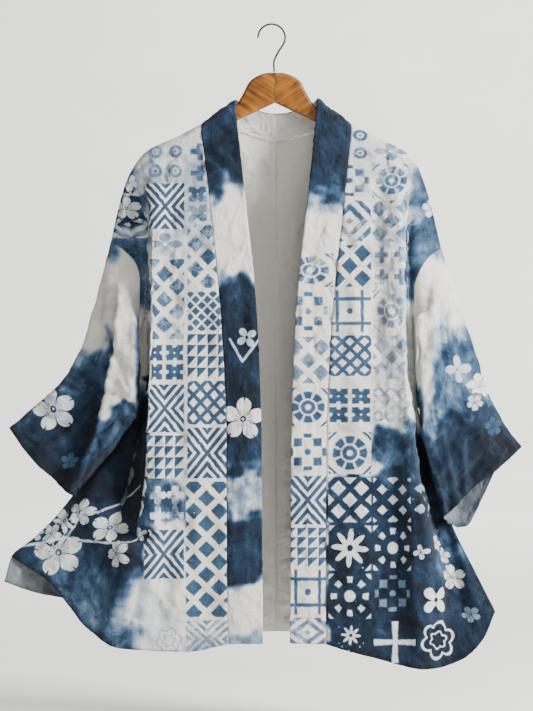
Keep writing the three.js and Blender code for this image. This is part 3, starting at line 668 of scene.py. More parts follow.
def back_tiles():
    """Rows of mixed tiles over the whole back, like the fronts' columns. The lower ones are pale on dark."""
    tiles = []
    for col in range(-4, 4):
        for row in range(BACK_TILE_ROWS):
            kind = BACK_KINDS[(col * 5 + row * 7) % len(BACK_KINDS)]
            x0, z0 = BACK_SEAM_X + col * BACK_TILE, BACK_TILES_TOP - row * BACK_TILE
            look = DARK_TILE if row > 5 + col % 3 else PALE_TILE
            tiles.append([x0, x0 + BACK_TILE - TILE_GAP, z0, z0 - BACK_TILE + TILE_GAP, kind, *look])
    return table(TILE_COLUMNS, tiles)


dye_edge = waves(21, 60, 12, 80, 1.6)


def washes(rows, x, z):
    """The dye from soft-edged boxes that are laid over each other, with wandering borders."""
    dye = np.full(x.shape, CLEAR_DYE)
    moved_x, moved_z = x + 6 * dye_edge(x, z), z + 9 * dye_edge(z, x)
    for row in rows:
        edge = row["edge"]
        share = band(moved_x, row["x0"], row["x1"], edge) * band(moved_z, row["z1"], row["z0"], edge)
        dye = dye * (1 - share) + row["dye"] * share
    return dye


def valley_dye_and_shade(side, across, z):
    """Darker deep between a front's side fold and its armhole: partly dye, partly painted shade."""
    deep = [row["dye"] * band(z, row["z1"], row["z0"], row["edge"]) for row in VALLEY_DYE_AND_SHADE[side]]
    return np.max(deep, axis=0) * ramp(across, *VALLEY_ACROSS)


def darker_edge(dye, from_edge):
    """Dye gathers in a hem's fold."""
    return np.clip(dye + 0.30 * ramp(dye, 0.3, 0.6) * np.exp(-from_edge / 3), 0, 1)


FAR = 999.0  # farther than any line's width


def distance_to_lines(lines, x, z):
    nearest = np.full(x.shape, FAR)
    for line in lines:
        for (ax, az), (bx, bz) in zip(line, line[1:]):
            run = np.array([bx - ax, bz - az], float)
            t = np.clip(((x - ax) * run[0] + (z - az) * run[1]) / (run @ run), 0, 1)
            nearest = np.minimum(nearest, np.hypot(x - ax - t * run[0], z - az - t * run[1]))
    return nearest


UNPRINTED = {"cx": 0, "cz": 0, "hx": 1, "hz": 1, "wide": 1, "high": 1, "turn": 0, "kind": KIND["plain"],
             "ink": 0, "ground": -1, "wear": 0}


def chart(x, z, tiles, flowers):
    """For each face, the tile or flower that it lies in: middle, half sizes, turn, kind, ink and ground."""
    found = {key: np.full(len(x), float(value)) for key, value in UNPRINTED.items()}

    def put(hit, row, **values):
        values.update(kind=KIND[row["kind"]], ink=row["ink"])
        for key, value in values.items():
            found[key][hit] = value

    for row in tiles:
        hit = (x >= row["x0"]) & (x < row["x1"]) & (z <= row["z0"]) & (z > row["z1"])
        wide, high = (row["x1"] - row["x0"]) / 2, (row["z0"] - row["z1"]) / 2
        hx, hz = (LATTICE_HALF, LATTICE_HALF) if row["kind"] in LATTICES else (wide, high)
        put(hit, row, cx=(row["x0"] + row["x1"]) / 2, cz=(row["z0"] + row["z1"]) / 2, wide=wide, high=high,
            hx=hx, hz=hz, ground=row["ground"], wear=FADED if row["ground"] < 0 else CRISP)
    for row in flowers:
        size = row["radius"]
        hit = np.hypot(x - row["x"], z - row["z"]) < size * FLOWER_REACH
        put(hit, row, cx=row["x"], cz=row["z"], hx=size, hz=size, wide=WHOLE, high=WHOLE, turn=row["turn"],
            ground=-1, wear=CRISP)
    return found


# ---------------------------------------------------------------- meshes
def add_object(name, data):
    thing = bpy.data.objects.new(name, data)
    bpy.context.collection.objects.link(thing)
    return thing


def make_mesh(name, vertices, faces, materials, node=None, shift=GARMENT_X):
    """A piece that rides with the part, from points in mm beside the hanger's middle."""
    mesh = bpy.data.meshes.new(name)
    mesh.from_pydata(((np.asarray(vertices) + [shift, 0, 0]) * MM).tolist(), [], faces)
    for material in materials:
        mesh.materials.append(material)
    mesh.polygons.foreach_set("use_smooth", [True] * len(mesh.polygons))
    mesh.update()
    piece = add_object(name, mesh)
    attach(piece, "root")
    if node:
        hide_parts(node)
    return piece


def quads(*corners):
    """Faces of four corners, from an array of vertex numbers for each corner."""
    return np.stack(corners, -1).reshape(-1, 4)


def shell(name, points, sign, thickness, cloth, look, node, closed=False):
    """A thin closed shell: the points are its outer face. cloth holds the flat cloth coordinates in mm.
    Gives the piece, and the points, outward normals and dye of its outer face."""
    out = grid_normals(points, closed) * sign
    rows, count = points.shape[:2]
    layer = rows * count
    steps = count if closed else count - 1
    i, j = np.meshgrid(np.arange(rows - 1), np.arange(steps), indexing="ij")
    beside = (j + 1) % count
    outer = quads(i * count + j, i * count + beside, (i + 1) * count + beside, (i + 1) * count + j)
    first = np.arange(steps)
    second = (first + 1) % count
    rims = [quads(first, first + layer, second + layer, second),
            quads(first, second, second + layer, first + layer) + layer - count]
    if not closed:
        start = np.arange(rows - 1) * count
        end = start + count - 1
        rims += [quads(start, start + count, start + count + layer, start + layer),
                 quads(end, end + layer, end + count + layer, end + count)]
    faces = np.concatenate([outer, outer[:, ::-1] + layer, *rims])
    if sign < 0:
        faces = faces[:, ::-1]
    vertices = np.concatenate([points, points - out * thickness]).reshape(-1, 3)
    piece = make_mesh(name, vertices, faces.tolist(), [PRINTED, WRONG_SIDE], node)
    material_index = np.zeros(len(faces), np.int32)
    material_index[len(outer):2 * len(outer)] = 1
    piece.data.polygons.foreach_set("material_index", material_index)
    dress(piece.data, faces, cloth, look)
    return piece, points, out, look["dye"]


def dress(mesh, faces, cloth, look):
    """Stores the cloth coordinates, the print's chart and the dye on a shell's mesh, corner by corner."""
    def both(values):
        flat = values.reshape(cloth.shape[0] * cloth.shape[1], -1)
        return np.concatenate([flat, flat])[faces.reshape(-1)]

    def keep(name, *values):
        layer = mesh.attributes.new(name, "FLOAT_VECTOR", "CORNER")
        layer.data.foreach_set("vector", np.stack(values, 1).astype(np.float32).ravel())

    mesh.uv_layers.new(name="Cloth").data.foreach_set("uv", (both(cloth) * MM).astype(np.float32).ravel())
    place = both(look["place"])
    middle = place.reshape(-1, 4, 2).mean(1)
    found = chart(middle[:, 0], middle[:, 1], look["tiles"], look["flowers"])
    tile = {key: np.repeat(value, 4) for key, value in found.items()}
    right, up = place[:, 0] - tile["cx"], place[:, 1] - tile["cz"]
    cos, sin = np.cos(tile["turn"]), np.sin(tile["turn"])
    keep("tile", (right * cos + up * sin) / tile["hx"], (up * cos - right * sin) / tile["hz"], tile["kind"])
    dye, branch = both(look["dye"])[:, 0], both(look["branch"])[:, 0]
    keep("dye", dye, np.where(tile["ground"] < 0, dye, tile["ground"]), tile["ink"])
    inside = np.minimum(tile["wide"] - np.abs(right), tile["high"] - np.abs(up))
    keep("edge", branch, inside, tile["wear"])


def printed(place, dye, tiles, flowers, lines=()):
    """A piece's look: where each point lies in the print's charts, its dye, and the charts."""
    branch = distance_to_lines(lines, place[..., 0], place[..., 1])
    return {"place": place, "dye": dye, "tiles": tiles, "flowers": flowers, "branch": branch}


def circle(count):
    """Evenly spaced angles round a circle."""
    return np.linspace(0, 2 * math.pi, count + 1)[:-1]


def tube_faces(rings, sides, base=0):
    """The faces of a tube whose rings of points follow each other, with a flat face at each end."""
    faces = []
    for k in range(rings - 1):
        for i in range(sides):
            a, b = base + k * sides + i, base + k * sides + (i + 1) % sides
            faces.append((a, b, b + sides, a + sides))
    top = base + (rings - 1) * sides
    return faces + [tuple(range(base + sides - 1, base - 1, -1)), tuple(range(top, top + sides))]


# ---------------------------------------------------------------- materials
class Number:
    """A number in the node tree that is being made, so that a pattern is written as plain arithmetic."""
    tree = None

    def __init__(self, socket):
        self.socket = socket

    @classmethod
    def of(cls, operation, *inputs, clamp=False):
        node = cls.tree.nodes.new("ShaderNodeMath")
        node.operation = operation
        node.use_clamp = clamp
        for slot, value in enumerate(inputs):
            set_inputs(node, {slot: value})
        return cls(node.outputs[0])

    __add__ = __radd__ = lambda self, other: Number.of("ADD", self, other)
    __mul__ = __rmul__ = lambda self, other: Number.of("MULTIPLY", self, other)
    __sub__ = lambda self, other: Number.of("SUBTRACT", self, other)
    __rsub__ = lambda self, other: Number.of("SUBTRACT", other, self)
    __truediv__ = lambda self, other: Number.of("DIVIDE", self, other)
    __abs__ = lambda self: Number.of("ABSOLUTE", self)


def set_inputs(node, values):
    """Sets a node's inputs, each to a number or colour or to what another node gives."""
    for name, value in values.items():
        value = value.socket if isinstance(value, Number) else value
        if isinstance(value, bpy.types.NodeSocket):
            Number.tree.links.new(value, node.inputs[name])
        else:
            node.inputs[name].default_value = value


def new_node(kind, **values):
    node = Number.tree.nodes.new("ShaderNode" + kind)
    set_inputs(node, values)
    return node


def maths(operation):
    return lambda *inputs, clamp=False: Number.of(operation, *inputs, clamp=clamp)


least, most, root, power = maths("MINIMUM"), maths("MAXIMUM"), maths("SQRT"), maths("POWER")
sine, cosine, scaled, same = maths("SINE"), maths("COSINE"), maths("MULTIPLY_ADD"), maths("COMPARE")


def under(value, edge, soft):
    """1 where value is under the edge, with a border as wide as soft."""
    return scaled(value, -1 / soft, edge / soft + 0.5, clamp=True)


def cell(value, times):
    """The place in each of so many equal cells, from -1 to 1."""
    return Number.of("FRACT", value * (times / 2) + times / 2) * 2 - 1


def staggered(p, q, wide, high):
    """The distance from the nearest of many diamonds' middles, 1 at the border between two."""
    return most(abs(cell(p / wide + q / high, 1)), abs(cell(p / wide - q / high, 1)))


def motif_masks(p, q, wobble):
    """Each motif's mask over its tile: 1 where it prints. p and q run from -1 to 1."""
    p = p + wobble * 0.05
    q = q + wobble * 0.045
    ap, aq = abs(p), abs(q)
    square = most(ap, aq)
    diamond = ap + aq
    radius = root(p * p + q * q)
    angle = Number.of("ARCTAN2", q, p)
    p2, q2 = cell(p, 2), cell(q, 2)
    p4, q4 = cell(p, 4), cell(q, 4)
    square2 = most(abs(p2), abs(q2))
    diamond2 = abs(p2) + abs(q2)
    thin2 = least(abs(p2), abs(q2))
    diagonal = abs(ap - aq)
    masks = {}
    masks["cross"] = under(thin2, 0.24, 0.1) * under(square2, 0.74, 0.1)
    masks["diamonds"] = under(staggered(p, q, 0.62, 0.62), 0.68, 0.1)
    masks["lozenges"] = under(staggered(p, q, 0.56, 0.56), 0.66, 0.1)
    masks["checks"] = under(staggered(p, q, 0.28, 0.28), 0.74, 0.16)
    masks["dots"] = 1 - under(staggered(p, q, 0.33, 0.33), 0.62, 0.14)
    masks["triangles"] = under(p4 - q4, 0.05, 0.2) * under(most(abs(p4), abs(q4)), 0.94, 0.1)
    masks["chevron"] = under(abs(cell(diagonal, 5)), 0.55, 0.2)
    spokes = under(abs(cosine(angle * 4)), 0.4, 0.3)
    ring = under(abs(radius - 0.6), 0.17, 0.07) * (1 - spokes * 0.8)
    corner = under(1.5 - diamond, 0.0, 0.08) * (1 - under(abs(1.7 - diamond), 0.06, 0.06))
    masks["octagon"] = most(most(ring, corner), under(abs(radius - 0.24), 0.1, 0.07))
    bars = under(abs(square - 0.78), 0.1, 0.05) * under(least(ap, aq), 0.2, 0.08)
    blocks = under(most(abs(ap - 0.46), abs(aq - 0.46)), 0.2, 0.08)
    masks["squares"] = most(most(blocks, under(radius, 0.15, 0.06)), bars)
    masks["rhombs"] = under(abs(cell(diamond, 3)), 0.5, 0.2)
    grid = under(abs(square - 0.56), 0.08, 0.06)
    arms = under(abs(least(ap, aq) - 0.56), 0.07, 0.06) * (1 - under(square, 0.5, 0.05))
    masks["framed"] = most(most(grid, arms), under(radius, 0.14, 0.05))
    notch2 = under(root((square2 - 0.74) * (square2 - 0.74) + thin2 * thin2), 0.2, 0.1)
    masks["puzzle"] = under(square2, 0.82, 0.12) * (1 - notch2) * (1 - under(diamond2, 0.14, 0.1))
    star_edge = scaled(cosine(angle * 8 + 0.6), 0.24, 0.6)
    star = under(radius - star_edge, 0.0, 0.08) * (1 - under(radius, 0.13, 0.06))
    masks["star"] = most(star, under(1.62 - diamond, 0.0, 0.08))
    rim = under(abs(radius - 0.72), 0.14, 0.07) * under(abs(sine(angle * 4)), 0.66, 0.2)
    masks["wheel"] = most(most(rim, under(radius, 0.26, 0.07)), under(1.66 - diamond, 0.0, 0.06))
    masks["ovals"] = under(staggered(p, q, 0.5, 0.5), 0.5, 0.14)
    ring2 = abs(root(p2 * p2 + q2 * q2) - 0.5)
    masks["circles"] = most(under(ring2, 0.17, 0.12), under(diamond2, 0.2, 0.1))
    masks["plus"] = under(least(ap, aq) - ap * aq * 0.4, 0.1, 0.06) * under(square, 0.9, 0.05)
    lobes = scaled(abs(cosine(angle * 3)), 0.24, 0.58)
    inner = scaled(cosine(angle * 6), 0.05, 0.34)
    masks["ringflower"] = most(under(abs(radius - lobes), 0.07, 0.05), under(abs(radius - inner), 0.05, 0.05))
    half = cosine(angle * 2.5)
    petal_edge = scaled(power(abs(half), 0.5), 0.66, 0.32)
    tip = sine(angle * 2.5)
    notch = under(abs(tip), 0.09, 0.08) * under(0.84 - radius, 0.0, 0.06)
    gaps = under(abs(half) - 0.12, 0.0, 0.14) * under(0.2 - radius, 0.0, 0.1)
    stamens = under(abs(sine(angle * 7.5)), 0.26, 0.3) * under(abs(radius - 0.26), 0.14, 0.06)
    heart = most(stamens, under(abs(radius - 0.1), 0.04, 0.03))
    masks["blossom"] = under(radius - petal_edge, 0.0, 0.06) * (1 - notch) * (1 - gaps) * (1 - heart * 0.85)
    four = scaled(power(abs(cosine(angle * 2)), 0.7), 0.8, 0.1)
    masks["petals"] = under(radius - four, 0.0, 0.08) * (1 - under(radius, 0.12, 0.05))
    masks["quilt"] = under(most(thin2 - 0.36, diamond2 - 1.15), 0.0, 0.12)
    return masks




def new_material(name):
    material = bpy.data.materials.new(name)
    material.use_nodes = True
    Number.tree = material.node_tree
    return material, material.node_tree.nodes["Principled BSDF"]


def object_place():
    return new_node("TexCoord").outputs["Object"]


def axes(vector):
    node = new_node("SeparateXYZ", Vector=vector)
    return [Number(node.outputs[axis]) for axis in range(3)]


def attribute(name):
    node = new_node("Attribute")
    node.attribute_name = name
    return axes(node.outputs["Vector"])


def noise(vector, scale, detail=3, rough=0.55, stretch=None, distortion=0):
    if stretch:
        vector = new_node("Mapping", Scale=stretch, Vector=vector).outputs["Vector"]
    node = new_node("TexNoise", Vector=vector, Scale=scale, Detail=detail, Roughness=rough,
                    Distortion=distortion)
    return Number(node.outputs["Fac"])


def paint(shader, value, stops):
    """Colours a shader by a value, through a row of stops: the value and the colour there."""
    node = new_node("ValToRGB", Fac=value)
    ramp_stops = node.color_ramp.elements
    ramp_stops[0].position, ramp_stops[-1].position = stops[0][0], stops[-1][0]
    for place, _ in stops[1:-1]:
        ramp_stops.new(place)
    for stop, (_, colour) in zip(ramp_stops, stops):
        stop.color = (*colour, 1)
    set_inputs(shader, {"Base Color": node.outputs["Color"]})


def bump(shader, height, strength, distance):
    relief = new_node("Bump", Strength=strength, Distance=distance, Height=height)
    set_inputs(shader, {"Normal": relief.outputs["Normal"]})


DYE_STOPS = [
    (0.0, (0.88, 0.84, 0.745)),
    (0.16, (0.60, 0.635, 0.66)),
    (0.34, (0.24, 0.32, 0.42)),
    (0.56, (0.052, 0.106, 0.192)),
    (0.76, (0.0105, 0.029, 0.064)),
    (1.0, (0.0025, 0.0065, 0.015)),
]
WRONG_STOPS = [
    (0.0, (0.66, 0.635, 0.58)),
    (0.3, (0.79, 0.77, 0.715)),
    (0.5, (0.83, 0.81, 0.76)),
    (0.72, (0.30, 0.33, 0.36)),
    (1.0, (0.02, 0.034, 0.058)),
]
THREAD_STOPS = [(0.0, (0.60, 0.58, 0.53)), (0.4, (0.22, 0.27, 0.34)), (1.0, (0.012, 0.024, 0.05))]
WOOD_STOPS = [
    (0.42, (0.016, 0.005, 0.001)),
    (0.51, (0.075, 0.024, 0.003)),
    (0.60, (0.175, 0.060, 0.005)),
    (0.76, (0.32, 0.125, 0.012)),
]
WIRE_STOPS = [(0.3, (0.018, 0.016, 0.015)), (0.7, (0.06, 0.055, 0.05))]
PAPER_STOPS = [(0.3, (0.80, 0.80, 0.785)), (0.7, (0.84, 0.84, 0.83))]
CLOTH_FINISH = {"Roughness": 0.9, "Specular IOR Level": 0.14, "Sheen Weight": 0.05, "Sheen Roughness": 0.5}
VARNISH = {"Roughness": 0.36, "Specular IOR Level": 0.3, "Coat Weight": 0.12, "Coat Roughness": 0.2}
THREADS = 5200.0  # radians a metre: a thread about every 1.2 mm
WEAVE_STRENGTH, WEAVE_DEPTH = 0.9, 0.0038
WOOD_STRENGTH, WOOD_DEPTH = 0.15, 0.0006
PRINT_MARGIN, PRINT_SOFT = 1.2, 1.6  # how far inside its tile a motif is printed, in mm
TWIG_HALF, TWIG_SOFT, TWIG_DYE = 1.9, 1.2, 0.06
SAME_KIND = 0.4  # a whole number that is nearer than this is the same kind


def weave_bump(shader):
    """Linen: two sets of crossed threads, slubs along them and small crumples."""
    uv = new_node("UVMap")
    uv.uv_map = "Cloth"
    flat = uv.outputs["UV"]
    s, t, _ = axes(flat)
    threads = sine(s * THREADS) * sine(t * THREADS)
    slub = noise(flat, 60, 3, 0.6, (16, 1.2, 1)) + noise(flat, 60, 3, 0.6, (1.2, 16, 1))
    crumples = noise(flat, 42, 6, 0.66, distortion=0.7)
    folds = noise(flat, 19, 4, 0.6, distortion=1.6)
    bump(shader, threads * 0.12 + slub * 0.6 + crumples * 1.9 + folds * 3.2, WEAVE_STRENGTH, WEAVE_DEPTH)
    return flat, slub


def printed_cloth():
    material, shader = new_material("printed_cloth")
    set_inputs(shader, CLOTH_FINISH)
    flat, slub = weave_bump(shader)
    place = object_place()
    p, q, kind = attribute("tile")
    dye, ground, ink = attribute("dye")
    twig, edge, wear = attribute("edge")
    wobble = (noise(flat, 110) - 0.5) * 2
    motifs = [motif * same(kind, KIND[name], SAME_KIND) for name, motif in motif_masks(p, q, wobble).items()]
    cloud = noise(place, 16, 8, 0.66, distortion=0.9)
    grain = noise(place, 130, 5, 0.7)
    patch = noise(place, 40, 5, 0.7, distortion=0.5)
    streak = noise(flat, 16, 4, 0.62, (4, 1, 1))
    inside = under(PRINT_MARGIN - edge, 0, PRINT_SOFT)
    worn = under(patch * 0.8 + grain * 0.4, 0.62, 0.12)  # the block doesn't print everywhere alike
    inked = scaled(grain, 0.3, 0.82, clamp=True)
    mask = sum(motifs[1:], motifs[0]) * inside * (1 - wear * (1 - worn)) * inked
    base = dye + (ground - dye) * inside
    middle = base * (1.15 - base) * 2.6  # half-dyed places are the cloudiest
    base = base + middle * ((cloud - 0.5) * 1.6 + (streak - 0.5) * 0.7)
    value = base + (ink - base) * mask
    line = under(twig + (grain - 0.5) * 2.4, TWIG_HALF, TWIG_SOFT)
    value = value - (value - TWIG_DYE) * line * 0.8
    value = value + (grain - 0.5) * 0.22 * (value + 0.12) + (slub - 1.0) * 0.07
    paint(shader, Number.of("ADD", value, 0, clamp=True), DYE_STOPS)
    return material


def wrong_side_cloth():
    """Undyed but for what has come through near the side seams and the flared hems. Behind the side folds
    this darkening is partly painted shade.
    """
    material, shader = new_material("wrong_side_cloth")
    set_inputs(shader, CLOTH_FINISH)
    _, slub = weave_bump(shader)
    place = object_place()
    outward = scaled(abs(axes(place)[0]), 18.0, -2.7, clamp=True)
    # The back's near-black washes behind the side folds come through here as painted shade.
    struck_dye_and_shade = attribute("dye")[0] * outward
    paint(shader, noise(place, 9, 5, 0.6) * 0.5 + slub * 0.16 + struck_dye_and_shade * 0.6, WRONG_STOPS)
    return material


def thread_material():
    """Sewing thread that was dyed together with the cloth."""
    material, shader = new_material("sewing_thread")
    paint(shader, attribute("dye")[0] + noise(object_place(), 400, 2) * 0.16, THREAD_STOPS)
    set_inputs(shader, {"Roughness": 0.75})
    return material


def wood_material(name, slope):
    """Amber wood with dark grain that runs along the arm, under a clear varnish."""
    material, shader = new_material(name)
    place = object_place()
    along = new_node("Mapping", Rotation=(0, slope, 0), Vector=place).outputs["Vector"]
    grain = noise(along, 240, 6, 0.7, (0.06, 1, 1), 0.5)
    fibre = noise(along, 420, 3, 0.6, (0.05, 1, 1))
    blotch = noise(along, 22)
    glue_line = under(abs(axes(place)[0] - GARMENT_X * MM), 0.0003, 0.0006)
    value = grain * 0.62 + fibre * 0.22 + blotch * 0.34 - glue_line * 0.3
    paint(shader, value, WOOD_STOPS)
    set_inputs(shader, VARNISH)
    bump(shader, value, WOOD_STRENGTH, WOOD_DEPTH)
    return material


def wire_material():
    material, shader = new_material("dark_wire")
    paint(shader, noise(object_place(), 260), WIRE_STOPS)
    set_inputs(shader, {"Metallic": 0.9, "Roughness": 0.34})
    return material


PRINTED = printed_cloth()
WRONG_SIDE = wrong_side_cloth()
THREAD = thread_material()


# ---------------------------------------------------------------- the garment's pieces
HEM_FOLD = 11  # the hem is turned up this far and stitched
HEM_PROUD = 0.5
STITCH_DIP, STITCH_DIP_WIDE = 0.5, 1.6
PUCKER_HIGH = 0.42
PUCKER_WIDE = 9
PUCKER_LONG = 8.5
PUCKER_DRIFTS = 400
PUCKER_REACH = 1200
PANEL_PUCKERS, SLEEVE_PUCKERS, COLLAR_PUCKERS = 40, 41, 42  # seeds
CENTRE_GAP = 0.06
PANEL_SWELL = 2.0
COLLAR_PLUMP = 1.2  # how far the doubled band swells between its seam and its fold
COLLAR_UNEVEN = 0.8
COLLAR_HEM = 879  # how far below the hook's middle the collar ends
NECK_DYE = 0.84
# how dark the painted shade beside the body, under the arm, goes
PIT_PAINTED_SHADE = 0.9
SHOULDER_DYE = 0.62
DARKEST = 0.98


def free_of_seams(points):
    """0 at the ridge, armhole and side seam, where pieces meet, and 1 away from them."""
    from_top = np.abs(points[..., 2] - points[:1, :, 2])
    from_side = np.linalg.norm(points - points[:, -1:, :], axis=2)
    return ramp(from_top, 2, 30) * ramp(from_side, 0, 16)


def hem_relief(from_hem):
    """The turned-up hem stands a little proud, and its stitching line is drawn in."""
    proud = HEM_PROUD * (1 - ramp(from_hem, HEM_FOLD, HEM_FOLD + 3))
    return proud - STITCH_DIP * np.exp(-((from_hem - HEM_FOLD) / STITCH_DIP_WIDE) ** 2)


def puckers(from_seam, along, seed):
    """Small gathers square to a seam, drawn up by its thread."""
    drift = np.cumsum(np.random.default_rng(seed).normal(0, 0.5, PUCKER_DRIFTS))
    drift_at = np.linspace(-PUCKER_REACH, PUCKER_REACH, PUCKER_DRIFTS)
    phase = 2 * math.pi * along / PUCKER_LONG + np.interp(along, drift_at, drift)
    return PUCKER_HIGH * np.sin(phase) * np.exp(-from_seam / PUCKER_WIDE) * ramp(from_seam, 0, 2)


def make_panel(name, side):
    """A front or a back, as its name says."""
    front = name == "front"
    stops, steps = (ACROSS_STOPS, FRONT_ACROSS_STEPS) if front else ([-1] + ACROSS_STOPS, BACK_ACROSS_STEPS)
    across = spread(stops, steps)
    points = panel_points(name, side, across)
    if not front:
        points[:, 0, 0] += math.copysign(CENTRE_GAP / 2, points[0, -1, 0])
    sign = 1 if front == (side == "right") else -1  # whether the grid's own normal points out of the garment
    normals = grid_normals(points)
    width = unfold(points, FRONT_ACROSS_STEPS[0] if front else 0)
    x, z = points[..., 0], points[..., 2]
    cloth = np.stack([width, z], 2)
    from_hem = z - z[-1:]
    from_first = np.abs(width - width[:, :1])
    swell, creases = (front_swell, FRONT_CREASES) if front else (back_swell, BACK_CREASES)
    amount = PANEL_SWELL * swell(x, z) + CREASE_GAIN * crease_field(creases, x, z) + small_uneven(width, z)
    amount = amount * free_of_seams(points) + hem_relief(from_hem) + puckers(from_first, z, PANEL_PUCKERS)
    if front:
        # The valley's darkness is partly painted shade.
        dye = np.maximum(washes(FRONT_WASHES, width, z), valley_dye_and_shade(side, across, z))
        look = printed(cloth, darker_edge(dye, from_hem), FRONT_TILES, FRONT_FLOWERS, BRANCHES)
    else:
        amount = amount * ramp(from_first, 0, 14)
        dye = washes(BACK_WASHES, width, z)
        look = printed(cloth, darker_edge(dye, from_hem), back_tiles(), BACK_FLOWERS, BACK_BRANCHES)
    points = points + normals * (sign * amount)[..., None]
    node = name + "_" + side
    return shell(node + "_cloth", points, sign, SHELL, cloth, look, node)


def armhole_ring(side):
    """The armhole's edge, down the front and up the back, from the smooth panels."""
    edges = []
    for name in ("front", "back"):
        edge = panel_points(name, side, np.array([1.0]))[:, -1]
        edges.append(edge[edge[:, 2] > UNDERARM[side] - 1])
    return edges[0][::2], edges[1][::-1][:-1][::2]


def sleeve_loop(s, where):
    """One section of a sleeve: points round it at the given places."""
    ridge, facet, crest, low_edge, under_edge = (np.array([s[key + axis] for axis in "XYZ"], float)
                                                 for key in ("ridge", "facet", "crest", "low", "under"))
    low = ridge + (under_edge - ridge) * BACK_LOW_AT
    low[1], low[2] = s["backLowY"], low[2] - s["drop"]
    high = ridge + (under_edge - ridge) * BACK_HIGH_AT
    high[1] = s["backHighY"]
    rails = SLEEVE_RAILS
    at = [rails["backHigh"] - 1, 0, rails["facet"], rails["crest"], rails["low"], rails["under"],
          rails["backLow"], rails["backHigh"], 1, 1 + rails["facet"]]
    through = [high, ridge, facet, crest, low_edge, under_edge, low, high, ridge, facet]
    return smooth(at, np.stack(through))(where)


def sleeve_points(side):
    down, up = armhole_ring(side)
    ring = np.concatenate([down, up])
    front_count, back_count = len(down), len(up)
    where = np.concatenate([0.5 * np.arange(front_count) / (front_count - 0.5),
                            0.5 + 0.5 * (np.arange(back_count) + 0.5) / (back_count + 0.5)])
    along = [0] + [s["along"] for s in SLEEVE[side]]
    surface = smooth(along, np.stack([ring] + [sleeve_loop(s, where) for s in SLEEVE[side]]))
    points = surface(np.linspace(0, 1, SLEEVE_ALONG_STEPS + 1))
    step = points[3] - points[0]
    points[0] += step / np.linalg.norm(step, axis=1, keepdims=True) * ARMHOLE_GAP
    points[0, :, 0] += math.copysign(ARMHOLE_GAP, ring[0, 0])
    return points


def beyond_step(side, x, z):
    """How far a place lies outside the line where the sleeve's swelling inner part ends."""
    line = np.array(SLEEVE_STEP[side], float)[::-1]
    return (x - smooth(line[:, 1], line[:, 0])(z.ravel()).reshape(z.shape)) * math.copysign(1, line[0, 0])


def step_field(side, x, z):
    """How far the sleeve's outer part lies back behind the edge of its swelling inner part."""
    beyond = beyond_step(side, x, z)
    faded = ramp(-z, 350, 420)
    lip = 2.6 * np.exp(-((beyond + 5) / 5) ** 2)
    return faded * (lip - STEP_FALL[side] * ramp(beyond, -1, STEP_WIDTH) * (1 - ramp(beyond, 20, 74)))


def sleeve_dye(side, x, z):
    """White at the shoulder, blue from the elbow down, darkest at the cuff. Deep beside the body under the
    arm it is dark with painted shade.
    """
    wander = 12 * dye_edge(x * 1.3, z)
    outside = ramp(beyond_step(side, x, z) + 0.3 * wander, *STEP_SHARP[side])
    if side == "right":
        down = -z + 0.5 * (x + 250) + wander
        outer = 0.72 * ramp(down, 430, 490) + 0.28 * ramp(down, 500, 590)
        inner = 0.66 * ramp(-z + wander, 524, 552) + 0.2 * ramp(-z, 560, 640)
    else:
        down = -z + 0.25 * (x - 270) + wander
        outer = 0.66 * ramp(down, 392, 470) + 0.34 * ramp(down, 510, 610)
        inner = 0.84 * ramp(down, 520, 590)
    dye = CLEAR_DYE + SLEEVE_DYE_AND_SHADE[side] * (outer * outside + inner * (1 - outside))
    # Painted shade: dark deep beside the body, under the arm.
    in_shaded_pit = 1 - ramp(np.abs(x), SHADE_PIT_REACH[side], SHADE_PIT_REACH[side] + 12)
    dye = np.maximum(dye, PIT_PAINTED_SHADE * in_shaded_pit * ramp(-z, SHADE_PIT_TOP[side], SHADE_PIT_TOP[side] + 40))
    top = SHOULDER_DYE * (1 - ramp(-z, 322, 352))
    return np.clip(np.maximum(dye, top * ramp(np.abs(x), 214, 230)), 0, DARKEST)


def make_sleeve(side):
    points = sleeve_points(side)
    sign = -1 if side == "right" else 1
    normals = grid_normals(points, True)
    x, y, z = points[..., 0], points[..., 1], points[..., 2]
    pace = np.linalg.norm(np.diff(points, axis=0), axis=2).mean(1)
    along = np.append(0, np.cumsum(pace))[:, None]
    around = run_length(points[SLEEVE_ALONG_STEPS // 2])[None, :]
    cloth = np.stack(np.broadcast_arrays(around, along), 2)
    from_cuff = along[-1] - along
    front_side = ramp(-y, 4, 16)
    amount = sleeve_swell(x, z + 0.4 * y) + CREASE_GAIN * crease_field(SLEEVE_CREASES[side], x, z)
    amount = (amount + small_uneven(x + y, z)) * ramp(along, 2, 26)
    amount = amount * (0.25 + 0.75 * ramp(np.abs(normals[..., 1]), 0.2, 0.75))  # folded edges stay straight
    amount = amount + step_field(side, x, z) * front_side * ramp(along, 10, 60)
    downward = ramp(-sign * normals[..., 2], 0.1, 0.7)
    amount = amount + UNDER_SAG[side] * downward * ramp(-z, 520, 600)
    amount = amount + hem_relief(from_cuff) + puckers(along, cloth[..., 0], SLEEVE_PUCKERS)
    dye = darker_edge(sleeve_dye(side, x, z), from_cuff)
    look = printed(np.stack([x, z], 2), dye, [], SLEEVE_FLOWERS[side])
    points = points + normals * (sign * amount)[..., None]
    node = "sleeve_" + side
    return shell(node + "_cloth", points, sign, SHELL, cloth, look, node, closed=True)


